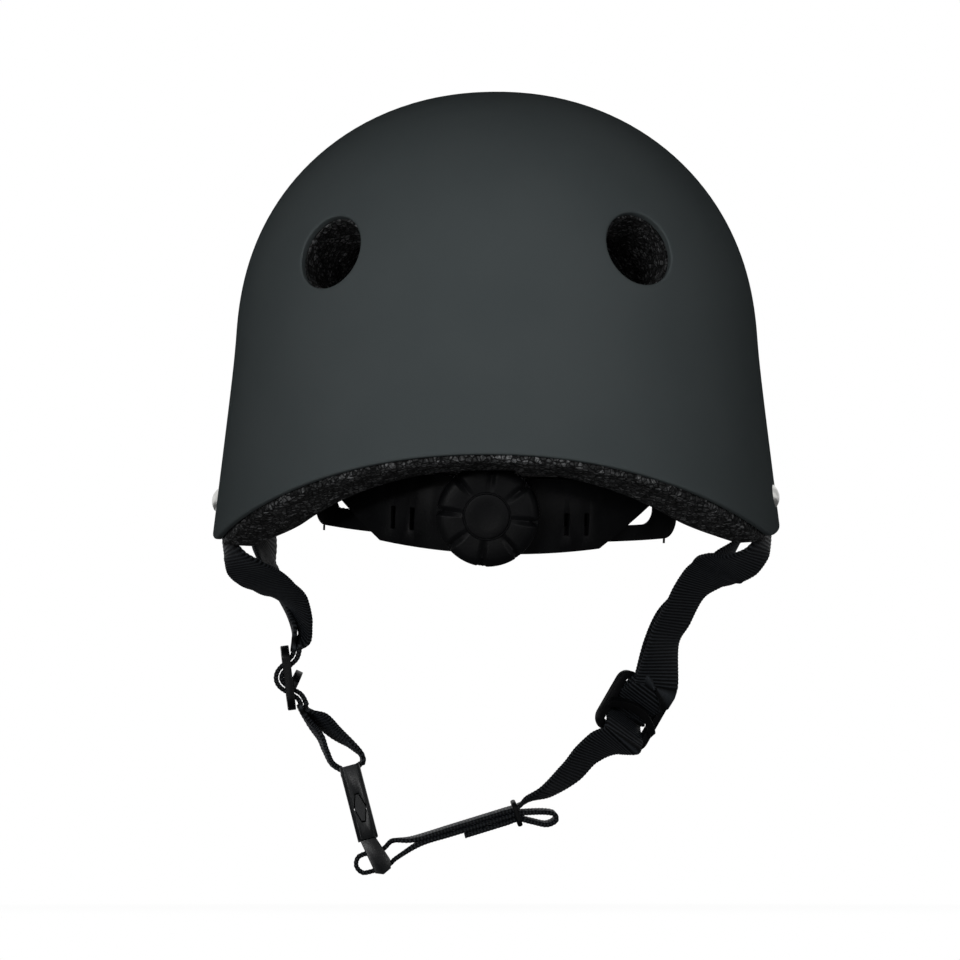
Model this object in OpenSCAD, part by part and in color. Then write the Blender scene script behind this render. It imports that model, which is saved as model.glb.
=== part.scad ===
// Hard-shell cycle helmet with a dial-adjusted nape cradle and webbing straps.
// +Z is up, the brow faces -Y, the nape faces +Y and +X is the wearer's left.
// Lengths are millimetres and angles are degrees.
// The origin lies on the symmetry plane, level with the shell's lowest edge.

/* [Shell] */
// Half-width of the dome, before the walls flare
shell_half_w = 99; // [94:0.5:106]
// Half-length of the dome, before the walls flare
shell_half_l = 137; // [130:0.5:146]
// Height of the dome above the flared walls
dome_h = 94.5; // [86:0.5:102]
// Height of the flared walls above the lowest edge
wall_h = 81; // [74:1:88]
// Wall thickness of the hard shell
shell_t = 3; // [2:0.1:4]
// Outward flare of the walls for each millimetre of drop
wall_flare = 0.105; // [0.05:0.005:0.14]
// Height of the rim at the nape above the lowest edge
nape_rise = 16.5; // [10:0.5:24]
// Height of the rim at the brow above the lowest edge
brow_rise = 54; // [46:1:60]

/* [Vents] */
// Radius of each round vent in the shell
vent_r = 13.2; // [9:0.1:15]
// Step in from the shell's vent to the liner's
vent_step = 0.8; // [0.4:0.1:2]

/* [Liner and pads] */
// Thickness of the foam liner
liner_t = 22; // [18:0.5:24]
// Drop of the liner's edge below the shell's edge
liner_drop = 2; // [0.5:0.1:4]
// Thickness of the comfort pads at their crown
pad_t = 6; // [4:0.5:8]
// Thickness of the hook fastener patches behind the pads
patch_t = 1.2; // [0.8:0.1:2]

/* [Straps] */
// Width of the webbing
web_w = 20; // [16:0.5:22]
// Thickness of the webbing
web_t = 1.6; // [1.2:0.1:1.8]
// Radius of the strap rivets' domed heads
rivet_head_r = 4.4; // [3.5:0.1:6]
// Radius of the strap rivets' shanks
rivet_r = 2; // [1.5:0.1:2.5]
// Height of a rear strap rivet above the lowest edge
rear_rivet_z = 17; // [14:0.5:24]
// Height of a front strap rivet above the lowest edge
front_rivet_z = 37; // [34:0.5:44]

/* [Dividers] */
// Width across a strap divider
divider_w = 26; // [25.5:0.1:28]
// Thickness of a strap divider's plate
divider_t = 3; // [2:0.1:3.4]
// Height of the webbing's weave over a divider's rails
weave_h = 4.6; // [4.4:0.1:5.2]
// Depth of the weave behind a divider's arch
weave_dip = 3.6; // [3.4:0.1:4.2]

/* [Buckle] */
// Width across the buckle
buckle_w = 31; // [29:0.5:34]
// Thickness of the buckle's socket
socket_t = 7.8; // [7.6:0.1:9]
// Length of the socket
socket_l = 28.5; // [27:0.5:32]
// Wall thickness of the socket
socket_wall = 1.5; // [1.3:0.1:2]
// Thickness of the plug's prongs
prong_t = 4.2; // [3.6:0.1:4.6]
// Gap between the plug's prongs and the socket
prong_gap = 0.4; // [0.3:0.05:0.6]

/* [Retention dial] */
// Radius of the dial
dial_r = 17.8; // [16:0.2:20]
// Depth of the dial
dial_depth = 11; // [9.5:0.5:13]
// Teeth of the pinion
pinion_teeth = 9; // [9:1:10]
// Tooth module of the pinion and the racks
gear_module = 0.75; // [0.7:0.01:0.8]
// Play between meshing teeth, along the pitch line
backlash = 0.25; // [0.2:0.01:0.35]
// Running clearance of the dial's journals, on the radius
journal_gap = 0.05; // [0.02:0.01:0.09]

/* [Retention bands] */
// Radius of the nape channel at the inner face of the cradle plate
nape_r = 75; // [72:0.5:78]
// Height of a band
band_h = 20; // [18:0.5:22]
// Thickness of a band
band_t = 1.6; // [1.2:0.1:2]
// Thickness of the cradle plate
cradle_t = 1.8; // [1.4:0.1:2.4]
// Thickness of the dial housing's wall
housing_t = 2; // [1.6:0.1:2.4]
// Gap between the sliding layers
layer_gap = 0.3; // [0.2:0.05:0.5]
// Travel of each band around the nape
band_travel = 10; // [6:1:12]
// Tilt of the fitting ring, nape down
ring_tilt = 14; // [10:1:18]
// Roll of the fitting ring, wearer's right side down
ring_roll = 2.6; // [0:0.1:3]

/* [Hidden] */

// Smoothness of circles and of the faceted dome.
fine = 64;
dome_columns = 48;
dome_rows = 11;
wall_rows = 2;
dome_power = 2.05;
plan_power = 2.1;
egg = 0.03;
glue_gap = 0.3;
touch_gap = 0.3;
// Room that a flat piece needs against a bowed wall.
bow_gap = 0.8;
dip_angle = 80;
ear_power = 1.25;
nape_power = 1.5;

// Vents as [angle from the nape, height, azimuth of the bore, elevation of the bore].
VENTS = [[31, 92, 17, 3], [90, 150, 90, 48], [132, 150, 123, 52], [146, 106, 141, 14]];

// Rivets as [angle from the nape, azimuth of the rivet, height].
rivet_lean = 6;
RIVETS = [[75, 78, rear_rivet_z], [106, 102, front_rivet_z]];
rivet_head_h = 1.9;
washer_r = 4.6;
washer_t = 0.8;
strap_inset = shell_t + glue_gap + bow_gap + web_t / 2;
pocket_depth = 7;
pocket_w = web_w + 4;
pocket_rise = 9;

// Colours, as the finish of each piece.
shell_black = [0.09, 0.1, 0.105];
foam_black = [0.06, 0.06, 0.065];
pad_black = [0.05, 0.05, 0.055];
plastic_black = [0.035, 0.036, 0.038];
web_black = [0.045, 0.047, 0.055];
steel = [0.75, 0.75, 0.74];

// Rim height of the shell at an angle from the nape.
function rim_z(t) = let(u = abs(t) > 180 ? 360 - abs(t) : abs(t))
    u < dip_angle ? nape_rise * pow(cos(90 * u / dip_angle), nape_power)
    : brow_rise * pow(sin(90 * (u - dip_angle) / (180 - dip_angle)), ear_power);

// Share of the dome's plan that is left at a height, for a skin set in from the outside.
function dome_share(z, inset) = z <= wall_h ? 1
    : pow(max(0, 1 - pow((z - wall_h) / (dome_h - inset), dome_power)), 1 / dome_power);
function signed_pow(v, p) = sign(v) * pow(abs(v), p);

// Point of a skin at an angle from the nape towards +X, and at a height.
function skin_at(t, z, inset) = let(
        share = dome_share(z, inset),
        flare = max(0, wall_h - z) * wall_flare,
        y = ((shell_half_l - inset) * share + flare) * signed_pow(cos(t), 2 / plan_power),
        x = ((shell_half_w - inset) * share + flare) * signed_pow(sin(t), 2 / plan_power))
    [x * (1 + egg * y / shell_half_l), y, z];

// Heights of a skin's rows in one column, from the rim to just below the pole.
function column_z(t, inset, drop) = concat(
    [for (k = [0:wall_rows - 1]) let(r = rim_z(t) - drop) r + (wall_h - r) * k / wall_rows],
    [for (k = [0:dome_rows]) wall_h + (dome_h - inset) * sin(90 * k / (dome_rows + 1))]);

row_count = wall_rows + dome_rows + 1;
function skin_points(inset, drop) = concat(
    [for (i = [0:dome_columns - 1]) let(t = 360 * i / dome_columns)
        for (z = column_z(t, inset, drop)) skin_at(t, z, inset)],
    [[0, 0, wall_h + dome_h - inset]]);

// Faces of one skin, looking from outside; base is the index of its first point.
function skin_faces(base, flip) = let(pole = base + dome_columns * row_count) [
    for (i = [0:dome_columns - 1], k = [0:row_count - 1])
        let(a = base + i * row_count + k, b = base + ((i + 1) % dome_columns) * row_count + k)
            each (k < row_count - 1
                ? (flip ? [[a, b + 1, b], [a, a + 1, b + 1]] : [[a, b, b + 1], [a, b + 1, a + 1]])
                : (flip ? [[a, pole, b]] : [[a, b, pole]]))];

// Domed wall between two skins, closed along the rim.
module dome_wall(outer_inset, inner_inset, drop) {
    count = dome_columns * row_count + 1;
    rim = [for (i = [0:dome_columns - 1])
        let(a = i * row_count, b = ((i + 1) % dome_columns) * row_count)
            each [[a, b + count, b], [a, a + count, b + count]]];
    polyhedron(
        points = concat(skin_points(outer_inset, drop), skin_points(inner_inset, drop)),
        faces = concat(skin_faces(0, false), skin_faces(count, true), rim));
}

// Turns +Z to an azimuth from +Y towards +X and an elevation above the horizon.
module aim(azimuth, elevation) {
    rotate([0, 0, -azimuth]) rotate([elevation - 90, 0, 0]) children();
}

// Places children at a skin point of both sides, with +Z pointing out of the skin.
module both_sides_at(t, z, azimuth, elevation, inset = 0) {
    for (side = [-1, 1]) {
        translate(skin_at(side * t, z, inset)) aim(side * azimuth, elevation) children();
    }
}

module vent_bores(r) {
    for (v = VENTS) {
        both_sides_at(v[0], v[1], v[2], v[3]) cylinder(h = 90, r = r, center = true, $fn = fine);
    }
}

module shell() {
    color(shell_black) difference() {
        dome_wall(0, shell_t, 0);
        vent_bores(vent_r);
        for (r = RIVETS) {
            both_sides_at(r[0], r[2], r[1], rivet_lean)
                cylinder(h = 16, r = rivet_r + 0.05, center = true, $fn = fine);
        }
    }
}

// Pocket in the liner's outer face that takes a strap's end, its washer and the rivet.
module strap_pockets() {
    for (r = RIVETS) {
        both_sides_at(r[0], r[2], r[1], rivet_lean, shell_t)
            translate([-pocket_w / 2, -pocket_rise, -pocket_depth])
                cube([pocket_w, 60, pocket_depth + 12]);
    }
}

module liner() {
    color(foam_black) difference() {
        dome_wall(shell_t + glue_gap, shell_t + liner_t, liner_drop);
        vent_bores(vent_r - vent_step);
        strap_pockets();
        cradle_anchor_places() anchor_hole();
        temple_anchor_places() anchor_hole();
    }
}

// Soft patch on the liner's inner face. Its rectangle in angle and height has round corners,
// it keeps edge_t at its edge and swells to mid_t at its middle.
patch_steps = 8;
function squircle(u, v) = [u * sqrt(1 - 0.36 * v * v), v * sqrt(1 - 0.36 * u * u)];
module skin_patch(t_mid, t_half, z_mid, z_half, back_gap, edge_t, mid_t, steps = patch_steps) {
    back = shell_t + liner_t + back_gap;
    n = steps + 1;
    grid = [for (i = [0:steps], j = [0:steps])
        let(q = squircle(2 * i / steps - 1, 2 * j / steps - 1),
            swell = pow((1 - pow(abs(q[0]), 4)) * (1 - pow(abs(q[1]), 4)), 0.5))
            [t_mid + t_half * q[0], z_mid + z_half * q[1], edge_t + (mid_t - edge_t) * swell]];
    points = concat([for (g = grid) skin_at(g[0], g[1], back)],
        [for (g = grid) skin_at(g[0], g[1], back + g[2])]);
    polyhedron(points = points, faces = slab_faces(n));
}

// Faces of a slab whose two faces are square grids of n by n points.
function slab_faces(n) = let(
        m = n * n,
        edge = concat([for (i = [0:n - 2]) i * n], [for (j = [0:n - 2]) (n - 1) * n + j],
            [for (i = [n - 1:-1:1]) i * n + n - 1], [for (j = [n - 1:-1:1]) j]),
        e = len(edge))
    concat(
        [for (i = [0:n - 2], j = [0:n - 2]) let(a = i * n + j)
            each [[a, a + n, a + n + 1], [a, a + n + 1, a + 1],
                [m + a, m + a + n + 1, m + a + n], [m + a, m + a + 1, m + a + n + 1]]],
        [for (k = [0:e - 1]) let(a = edge[k], b = edge[(k + 1) % e])
            each [[a, m + b, b], [a, m + a, m + b]]]);

pad_gap = patch_t + 0.8;
pad_edge_t = 2.2;
SIDE_PAD = [90, 27, 84, 17];
BROW_PAD = [180, 36, 78, 13];

module side_pad(side) {
    color(pad_black) skin_patch(side * SIDE_PAD[0], SIDE_PAD[1], SIDE_PAD[2], SIDE_PAD[3],
        pad_gap, pad_edge_t, pad_t);
}
module left_side_pad() side_pad(1);
module right_side_pad() side_pad(-1);

module brow_pad() {
    color(pad_black) skin_patch(BROW_PAD[0], BROW_PAD[1], BROW_PAD[2], BROW_PAD[3],
        pad_gap, pad_edge_t, pad_t, 10);
}

// Round pad under the crown, swept as rings about the pole.
crown_pad_r = 46;
crown_rings = 5;
crown_spokes = 24;
function crown_point(r, spoke, depth) = let(
        x = r * sin(360 * spoke / crown_spokes),
        y = r * cos(360 * spoke / crown_spokes))
    [x, y, dome_under(x, y, shell_t + liner_t + depth)];

// Height of a dome's skin over a point of the plan.
function dome_under(x, y, inset) = let(
        w = abs(x) / (1 + egg * y / shell_half_l) / (shell_half_w - inset),
        l = abs(y) / (shell_half_l - inset),
        share = pow(pow(w, plan_power) + pow(l, plan_power), 1 / plan_power))
    wall_h + (dome_h - inset) * pow(1 - pow(share, dome_power), 1 / dome_power);

module disc_patch(radius, back_gap, edge_t, mid_t) {
    rings = [for (k = [1:crown_rings]) k * radius / crown_rings];
    swell = [for (k = [1:crown_rings]) sqrt(1 - pow(k / crown_rings, 4))];
    upper = concat([crown_point(0, 0, back_gap)],
        [for (r = rings, s = [0:crown_spokes - 1]) crown_point(r, s, back_gap)]);
    lower = concat([crown_point(0, 0, back_gap + mid_t)],
        [for (k = [0:crown_rings - 1], s = [0:crown_spokes - 1])
            crown_point(rings[k], s, back_gap + edge_t + (mid_t - edge_t) * swell[k])]);
    m = len(upper);
    last = 1 + (crown_rings - 1) * crown_spokes;
    polyhedron(points = concat(upper, lower), faces = concat(
        [for (s = [0:crown_spokes - 1]) let(b = (s + 1) % crown_spokes)
            each [[0, 1 + s, 1 + b], [m, m + 1 + b, m + 1 + s],
                [last + s, m + last + b, last + b], [last + s, m + last + s, m + last + b]]],
        [for (k = [0:crown_rings - 2], s = [0:crown_spokes - 1])
            let(a = 1 + k * crown_spokes + s, b = 1 + k * crown_spokes + (s + 1) % crown_spokes,
                c = crown_spokes)
                each [[a, b + c, b], [a, a + c, b + c],
                    [m + a, m + b, m + b + c], [m + a, m + b + c, m + a + c]]]));
}

module crown_pad() {
    color(pad_black) disc_patch(crown_pad_r, pad_gap, pad_edge_t, pad_t);
}

// Hook patches glued to the liner, which hold the pads.
module pad_fasteners() {
    color(pad_black) {
        disc_patch(crown_pad_r / 3, 0.4, patch_t, patch_t);
        for (side = [-1, 1]) {
            skin_patch(side * SIDE_PAD[0], 8, SIDE_PAD[2], 8, 0.4, patch_t, patch_t, 4);
            skin_patch(BROW_PAD[0] + side * 20, 6, BROW_PAD[2], 7, 0.4, patch_t, patch_t, 4);
        }
    }
}

module strap_rivets() {
    cap_r = (rivet_head_r * rivet_head_r + rivet_head_h * rivet_head_h) / (2 * rivet_head_h);
    tail = strap_inset + web_t / 2 + washer_t + 0.2;
    color(steel) for (r = RIVETS) {
        both_sides_at(r[0], r[2], r[1], rivet_lean) {
            rotate_extrude($fn = fine) intersection() {
                translate([0, rivet_head_h - cap_r]) circle(cap_r, $fn = fine);
                translate([0, 0.15]) square([rivet_head_r, rivet_head_h]);
            }
            translate([0, 0, -tail]) cylinder(h = tail + 0.4, r = rivet_r, $fn = fine);
            translate([0, 0, -tail - 1]) cylinder(h = 1.05, r = rivet_r + 1, $fn = fine);
        }
    }
}

module rivet_washers() {
    color(steel) for (r = RIVETS) {
        both_sides_at(r[0], r[2], r[1], rivet_lean)
            translate([0, 0, -strap_inset - web_t / 2 - washer_t - 0.1]) difference() {
                cylinder(h = washer_t, r = washer_r, $fn = fine);
                translate([0, 0, -1]) cylinder(h = washer_t + 2, r = rivet_r + 0.05, $fn = fine);
            }
    }
}

// Smooth curve through route rows; a row holds a point and its width direction.
function curve_row(a, b, c, d, u) = 0.5 * (2 * b + (c - a) * u
    + (2 * a - 5 * b + 4 * c - d) * u * u + (3 * b - a - 3 * c + d) * u * u * u);
function smooth_route(rows, steps) = let(n = len(rows)) concat(
    [for (i = [0:n - 2], k = [0:steps - 1])
        curve_row(rows[max(i - 1, 0)], rows[i], rows[i + 1], rows[min(i + 2, n - 1)], k / steps)],
    [rows[n - 1]]);
function place(row) = [row[0], row[1], row[2]];
function lie(row) = [row[3], row[4], row[5]];
function unit(v) = v / norm(v);

// Webbing swept along a route, as a closed band of rectangular section.
module webbing(rows, width = web_w, thick = web_t, steps = 3) {
    path = smooth_route(rows, steps);
    n = len(path);
    sections = [for (i = [0:n - 1]) let(
        p = place(path[i]),
        along = unit(place(path[min(i + 1, n - 1)]) - place(path[max(i - 1, 0)])),
        raw = lie(path[i]),
        across = unit(raw - along * (raw * along)) * width / 2,
        up = unit(cross(along, across)) * thick / 2)
        each [p + across + up, p + across - up, p - across - up, p - across + up]];
    sides = [for (i = [0:n - 2], k = [0:3])
        let(a = 4 * i + k, b = 4 * i + (k + 1) % 4) each [[a, b, b + 4], [a, b + 4, a + 4]]];
    last = 4 * (n - 1);
    polyhedron(points = sections, faces = concat([[0, 3, 2], [0, 2, 1]], sides,
        [[last, last + 1, last + 2], [last, last + 2, last + 3]]));
}

// Frame of a divider: its middle, the way the webbing runs down, and its outward face.
LEFT_DIVIDER = [[81.5, -6, -45.5], [-0.12, -0.1, -0.99], [-0.98, -0.13, 0.05]];
RIGHT_DIVIDER = [[-50.5, -6, -58.5], [0.5, 0.1, -0.86], [-0.5, 0.8, -0.3]];
function down_of(d) = unit(d[1]);
function out_of(d) = unit(d[2] - down_of(d) * (d[2] * down_of(d)));
function across_of(d) = let(c = cross(down_of(d), out_of(d))) c[1] < 0 ? -c : c;

// Height of the weave's middle line at a distance down the divider.
weave_pitch = 10.5;
function weave_n(s) = (weave_h - weave_dip) / 2 - (weave_h + weave_dip) / 2
    * signed_pow(cos(180 * min(1, abs(s) / weave_pitch)), 0.8);
// One layer of the weave, set off square to its middle line.
function weave_row(d, s, layer) = let(
        slope = (weave_n(s + 0.1) - weave_n(s - 0.1)) / 0.2,
        q = unit([-slope, 1]),
        p = d[0] + down_of(d) * (s + q[0] * layer) + out_of(d) * (weave_n(s) + q[1] * layer))
    concat(p, across_of(d));
WEAVE_STOPS = [-12.5, -10.5, -7.6, -5.25, -2.6, 0, 2.6, 5.25, 7.6, 10.5, 12.5];
layer_pitch = web_t + 0.5;
function weave_rows(d, layer, last = 13) = [for (s = WEAVE_STOPS)
    if (s < last) weave_row(d, s, layer * layer_pitch / 2)];
function reversed(rows) = [for (i = [len(rows) - 1:-1:0]) rows[i]];

// Divider: round-cornered frame with a raised arch bar between its two slots.
divider_rail = 3;
divider_end = 3.4;
divider_half_l = weave_pitch + 1.9;
divider_corner_r = 5;
arch_t = 2.8;
arch_r = 20;
arch_top = 3.5;
arch_foot = -1.2;
arch_low = 1.1;
arch_tilt = 32;
module divider_outline() {
    half_w = divider_w / 2;
    square([divider_w - 2 * divider_corner_r, 2 * divider_half_l], center = true);
    square([divider_w, 2 * (divider_half_l - divider_corner_r)], center = true);
    for (x = [-1, 1], y = [-1, 1]) {
        translate([x * (half_w - divider_corner_r), y * (divider_half_l - divider_corner_r)])
            circle(divider_corner_r, $fn = fine);
    }
}
module divider_plate() {
    linear_extrude(height = divider_t, center = true) difference() {
        divider_outline();
        square([divider_w - 2 * divider_rail, 2 * (divider_half_l - divider_end)], center = true);
    }
    translate([0, arch_foot, arch_low]) rotate([arch_tilt, 0, 0]) linear_extrude(height = arch_t)
        intersection() {
            translate([0, arch_top - arch_foot - arch_r]) difference() {
                circle(arch_r, $fn = 96);
                circle(arch_r - arch_t, $fn = 96);
            }
            translate([0.5 - divider_w / 2, -3]) square([divider_w - 1, 12]);
        }
}

// Sets +Y of the plate up the strap and +Z out of its outward face.
module divider_frame(d) {
    u = -down_of(d);
    o = out_of(d);
    a = cross(u, o);
    multmatrix([[a[0], u[0], o[0], d[0][0]], [a[1], u[1], o[1], d[0][1]],
        [a[2], u[2], o[2], d[0][2]], [0, 0, 0, 1]]) children();
}
module left_divider() color(plastic_black) divider_frame(LEFT_DIVIDER) divider_plate();
module right_divider() color(plastic_black) divider_frame(RIGHT_DIVIDER) divider_plate();

// Rows of a strap from above its rivet down to the shell's rim.
function rivet_row(side, r, z) = concat(skin_at(side * r[0], z, strap_inset),
    [side * -cos(r[1]), sin(r[1]), 0]);
function rivet_rows(side, r) = [for (dz = [7, 0, -8, -14]) rivet_row(side, r, r[2] + dz)];

// Row set off from where a strap leaves the rim.
function exit_row(side, r, offset, width_dir) = concat(
    skin_at(side * r[0], r[2] - 14, strap_inset) + offset, width_dir);

// Point turned about X, then Y, then Z, by three angles.
function swung(p, t) = let(
        a = [p[0], p[1] * cos(t[0]) - p[2] * sin(t[0]), p[1] * sin(t[0]) + p[2] * cos(t[0])],
        b = [a[0] * cos(t[1]) + a[2] * sin(t[1]), a[1], a[2] * cos(t[1]) - a[0] * sin(t[1])])
    [b[0] * cos(t[2]) - b[1] * sin(t[2]), b[0] * sin(t[2]) + b[1] * cos(t[2]), b[2]];
// Route row in a turned frame, from a distance along it and a height over it.
function frame_row(origin, turn, x, z) = concat(origin + swung([x, 0, z], turn), swung([0, 1, 0], turn));

// Buckle frame: middle of the parting line between socket and plug.
BUCKLE = [51, -15, -107];
buckle_turn = [0, 15, 5.4];
module buckle_frame() translate(BUCKLE) rotate(buckle_turn) children();
function buckle_row(x, z) = frame_row(BUCKLE, buckle_turn, x, z);

// Webbing round the socket's bar, as an arc in the buckle's frame.
socket_bar_r = 1.9;
socket_bar_z = socket_l - socket_bar_r - 0.4;
socket_wrap_r = socket_bar_r + 0.45 + web_t / 2;
function bar_arc(z, r, from, to, count) = [for (k = [0:count]) let(a = from + (to - from) * k / count)
    buckle_row(r * cos(a), z + r * sin(a))];

// Left webbing: front rivet, divider, socket bar, divider again, rear rivet.
module left_strap() {
    front_run = [exit_row(1, RIVETS[1], [-0.5, -0.5, -10], [0.24, 0.97, 0]),
        exit_row(1, RIVETS[1], [-0.5, 2.8, -16], [0.25, 0.97, 0]),
        exit_row(1, RIVETS[1], [-3, 10.5, -23.5], [0.15, 0.98, 0]),
        [87.5, -20, -11.5, 0, 1, 0], [82, -11, -21, -0.1, 0.99, 0], [79.5, -7, -28, -0.1, 0.99, 0]];
    front_leg = [[73, -10.5, -63, -0.12, 0.99, 0.05], [69.5, -11.8, -68, -0.15, 0.98, 0.05],
        [67.5, -12.8, -73, -0.15, 0.98, 0], [65, -13.8, -78, -0.12, 0.98, 0]];
    rear_leg = [[53.6, -14.8, -77.5, -0.1, 0.99, 0], [54, -14, -74.5, -0.1, 0.99, 0.02],
        [58, -13, -70.5, -0.1, 0.99, 0.08], [64, -12, -66, -0.18, 0.97, 0.16],
        [69.5, -10, -61, -0.2, 0.96, 0.2]];
    rear_run = [[76.2, -3, -28, -0.35, 0.94, 0], [77, 2.5, -21.3, -0.36, 0.93, 0.05],
        [79.8, 9, -16.5, -0.3, 0.95, 0.15], [84.3, 18, -13.2, -0.37, 0.91, 0.19],
        exit_row(1, RIVETS[0], [-11, -12, -13.5], [-0.5, 0.82, 0.27]),
        exit_row(1, RIVETS[0], [-7, -4.5, -10.5], [-0.5, 0.82, 0.22]),
        exit_row(1, RIVETS[0], [-3.2, -1, -6.5], [-0.4, 0.9, 0.1])];
    rows = concat(rivet_rows(1, RIVETS[1]), front_run, weave_rows(LEFT_DIVIDER, -1), front_leg,
        bar_arc(socket_bar_z, socket_wrap_r, 30, -210, 8), rear_leg,
        reversed(weave_rows(LEFT_DIVIDER, 1)), rear_run, reversed(rivet_rows(1, RIVETS[0])));
    color(web_black) difference() {
        webbing(rows);
        rivet_holes(1);
    }
}

module rivet_holes(side) {
    for (r = RIVETS) {
        translate(skin_at(side * r[0], r[2], 0)) aim(side * r[1], rivet_lean)
            cylinder(h = 20, r = rivet_r + 0.05, center = true, $fn = fine);
    }
}

// Right webbing: rear rivet to the divider, where it is sewn to the front strap.
module right_rear_strap() {
    run = [exit_row(-1, RIVETS[0], [3, -1, -6.5], [0.4, 0.9, 0.05]),
        exit_row(-1, RIVETS[0], [9, -5, -10.5], [0.5, 0.8, 0.25]),
        exit_row(-1, RIVETS[0], [15, -11.5, -11], [0.35, 0.82, 0.4]),
        [-81.5, 20, -9, 0.4, 0.84, 0.36], [-77.2, 14, -11, 0.42, 0.84, 0.32],
        [-72.3, 9.5, -15.5, 0.42, 0.87, 0.25], [-67.2, 5, -24.5, 0.46, 0.86, 0.24],
        [-62.8, 1.5, -33, 0.46, 0.85, 0.26]];
    rows = concat(rivet_rows(-1, RIVETS[0]), run, weave_rows(RIGHT_DIVIDER, 1, 3));
    color(web_black) difference() {
        webbing(rows);
        rivet_holes(-1);
    }
}

// Rows along the chin bundle, where it hangs from the plug to the keeper.
CHIN = [-6, -17, -97];
chin_turn = [-5, 17, 2];
function chin_row(s, h) = frame_row(CHIN, chin_turn, s, h);

// Right webbing: front rivet, divider, keeper, plug, keeper again and the folded tail.
module right_front_strap() {
    front_run = [exit_row(-1, RIVETS[1], [0, 0.3, -8], [-0.2, 0.97, 0]),
        exit_row(-1, RIVETS[1], [3.5, 1, -15], [0, 0.99, 0.1]),
        exit_row(-1, RIVETS[1], [11, 6.5, -22.5], [0.2, 0.95, 0.1]),
        [-77.5, -27, -8, 0.25, 0.95, 0.1],
        [-70.5, -20, -15.5, 0.28, 0.94, 0.12], [-64, -14.5, -24.5, 0.35, 0.92, 0.18],
        [-60.1, -8.8, -36, 0.46, 0.85, 0.26]];
    chin_run = [[-39.5, -6.5, -71.5, 0.35, 0.88, 0.36], [-33, -10, -75.5, 0.28, 0.92, 0.28],
        [-26.5, -12.5, -82.3, 0.25, 0.93, 0.25], [-17.8, -14.5, -89, 0.12, 0.98, 0.12],
        [-10.5, -16.4, -92, 0, 1, 0]];
    top = layer_pitch;
    out_run = [for (s = [-0.5, 5, 14, 26, 40]) chin_row(s, top)];
    slot_in = [buckle_row(-9, -3), buckle_row(-4.5, -5)];
    loop = [for (a = [90, 45, 0, -45, -90]) buckle_row(3.4 + 3.5 * cos(a), -8.6 + 3.5 * sin(a))];
    slot_out = [buckle_row(-4.5, -11.6), buckle_row(-9, -9.6)];
    back_run = [for (s = [38, 26, 14, 5, 0]) chin_row(s, 0)];
    fold = [chin_row(-5, -1), chin_row(-10.5, -2.6), chin_row(-13.8, -4.4), chin_row(-13.4, -6.8),
        chin_row(-9.5, -7.2), chin_row(-4.5, -4.5)];
    tail_run = [for (s = [0, 5, 14, 21.5]) chin_row(s, -top)];
    rows = concat(rivet_rows(-1, RIVETS[1]), front_run, weave_rows(RIGHT_DIVIDER, -1), chin_run,
        out_run, slot_in, loop, slot_out, back_run, fold, tail_run);
    color(web_black) difference() {
        webbing(rows, steps = 2);
        rivet_holes(-1);
    }
}

// Rubber ring round the chin bundle.
keeper_cord = 0.95;
module strap_keeper() {
    half_w = web_w / 2 + 0.5;
    half_h = layer_pitch + web_t / 2 + 0.9;
    color(plastic_black) translate(CHIN) rotate(chin_turn) rotate([0, 90, 0]) {
        difference() {
            rounded_bar(half_h + keeper_cord, half_w + keeper_cord, 2 * keeper_cord);
            rounded_bar(half_h, half_w, 8);
        }
    }
}
// Straight bar along Z with rounded long edges, from its half sizes and length.
module rounded_bar(half_x, half_y, length) {
    r = 1.8;
    linear_extrude(height = length, center = true) {
        square([2 * (half_x - r), 2 * half_y], center = true);
        square([2 * half_x, 2 * (half_y - r)], center = true);
        for (x = [-1, 1], y = [-1, 1]) {
            translate([x * (half_x - r), y * (half_y - r)]) circle(r, $fn = 32);
        }
    }
}

// Socket of the side-release buckle. +Z runs from the parting line to the socket's bar.
window_z = 12;
window_half_l = 5.6;
window_half_t = prong_t / 2 + prong_gap;
cavity_l = 20.5;
inner_w = buckle_w - 2 * socket_wall;
module lozenge(half_t, half_l) {
    polygon([[-half_t, 0], [-0.3 * half_t, -half_l], [0.3 * half_t, -half_l],
        [half_t, 0], [0.3 * half_t, half_l], [-0.3 * half_t, half_l]]);
}
module buckle_socket() {
    slot_low = cavity_l + 1.6;
    slot_w = web_w + 1.6;
    color(plastic_black) buckle_frame() {
        difference() {
            translate([0, 0, socket_l / 2]) rounded_bar(socket_t / 2, buckle_w / 2, socket_l);
            translate([-prong_t / 2 - prong_gap, -inner_w / 2, -1])
                cube([prong_t + 2 * prong_gap, inner_w, cavity_l + 1]);
            translate([0, 0, window_z]) rotate([90, 0, 0])
                linear_extrude(height = buckle_w + 2, center = true)
                    lozenge(window_half_t, window_half_l);
            translate([-socket_t, -slot_w / 2, slot_low]) cube([2 * socket_t, slot_w, socket_l]);
        }
        translate([0, 0, socket_bar_z]) rotate([90, 0, 0])
            cylinder(h = slot_w + 2, r = socket_bar_r, center = true, $fn = fine);
    }
}

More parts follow.
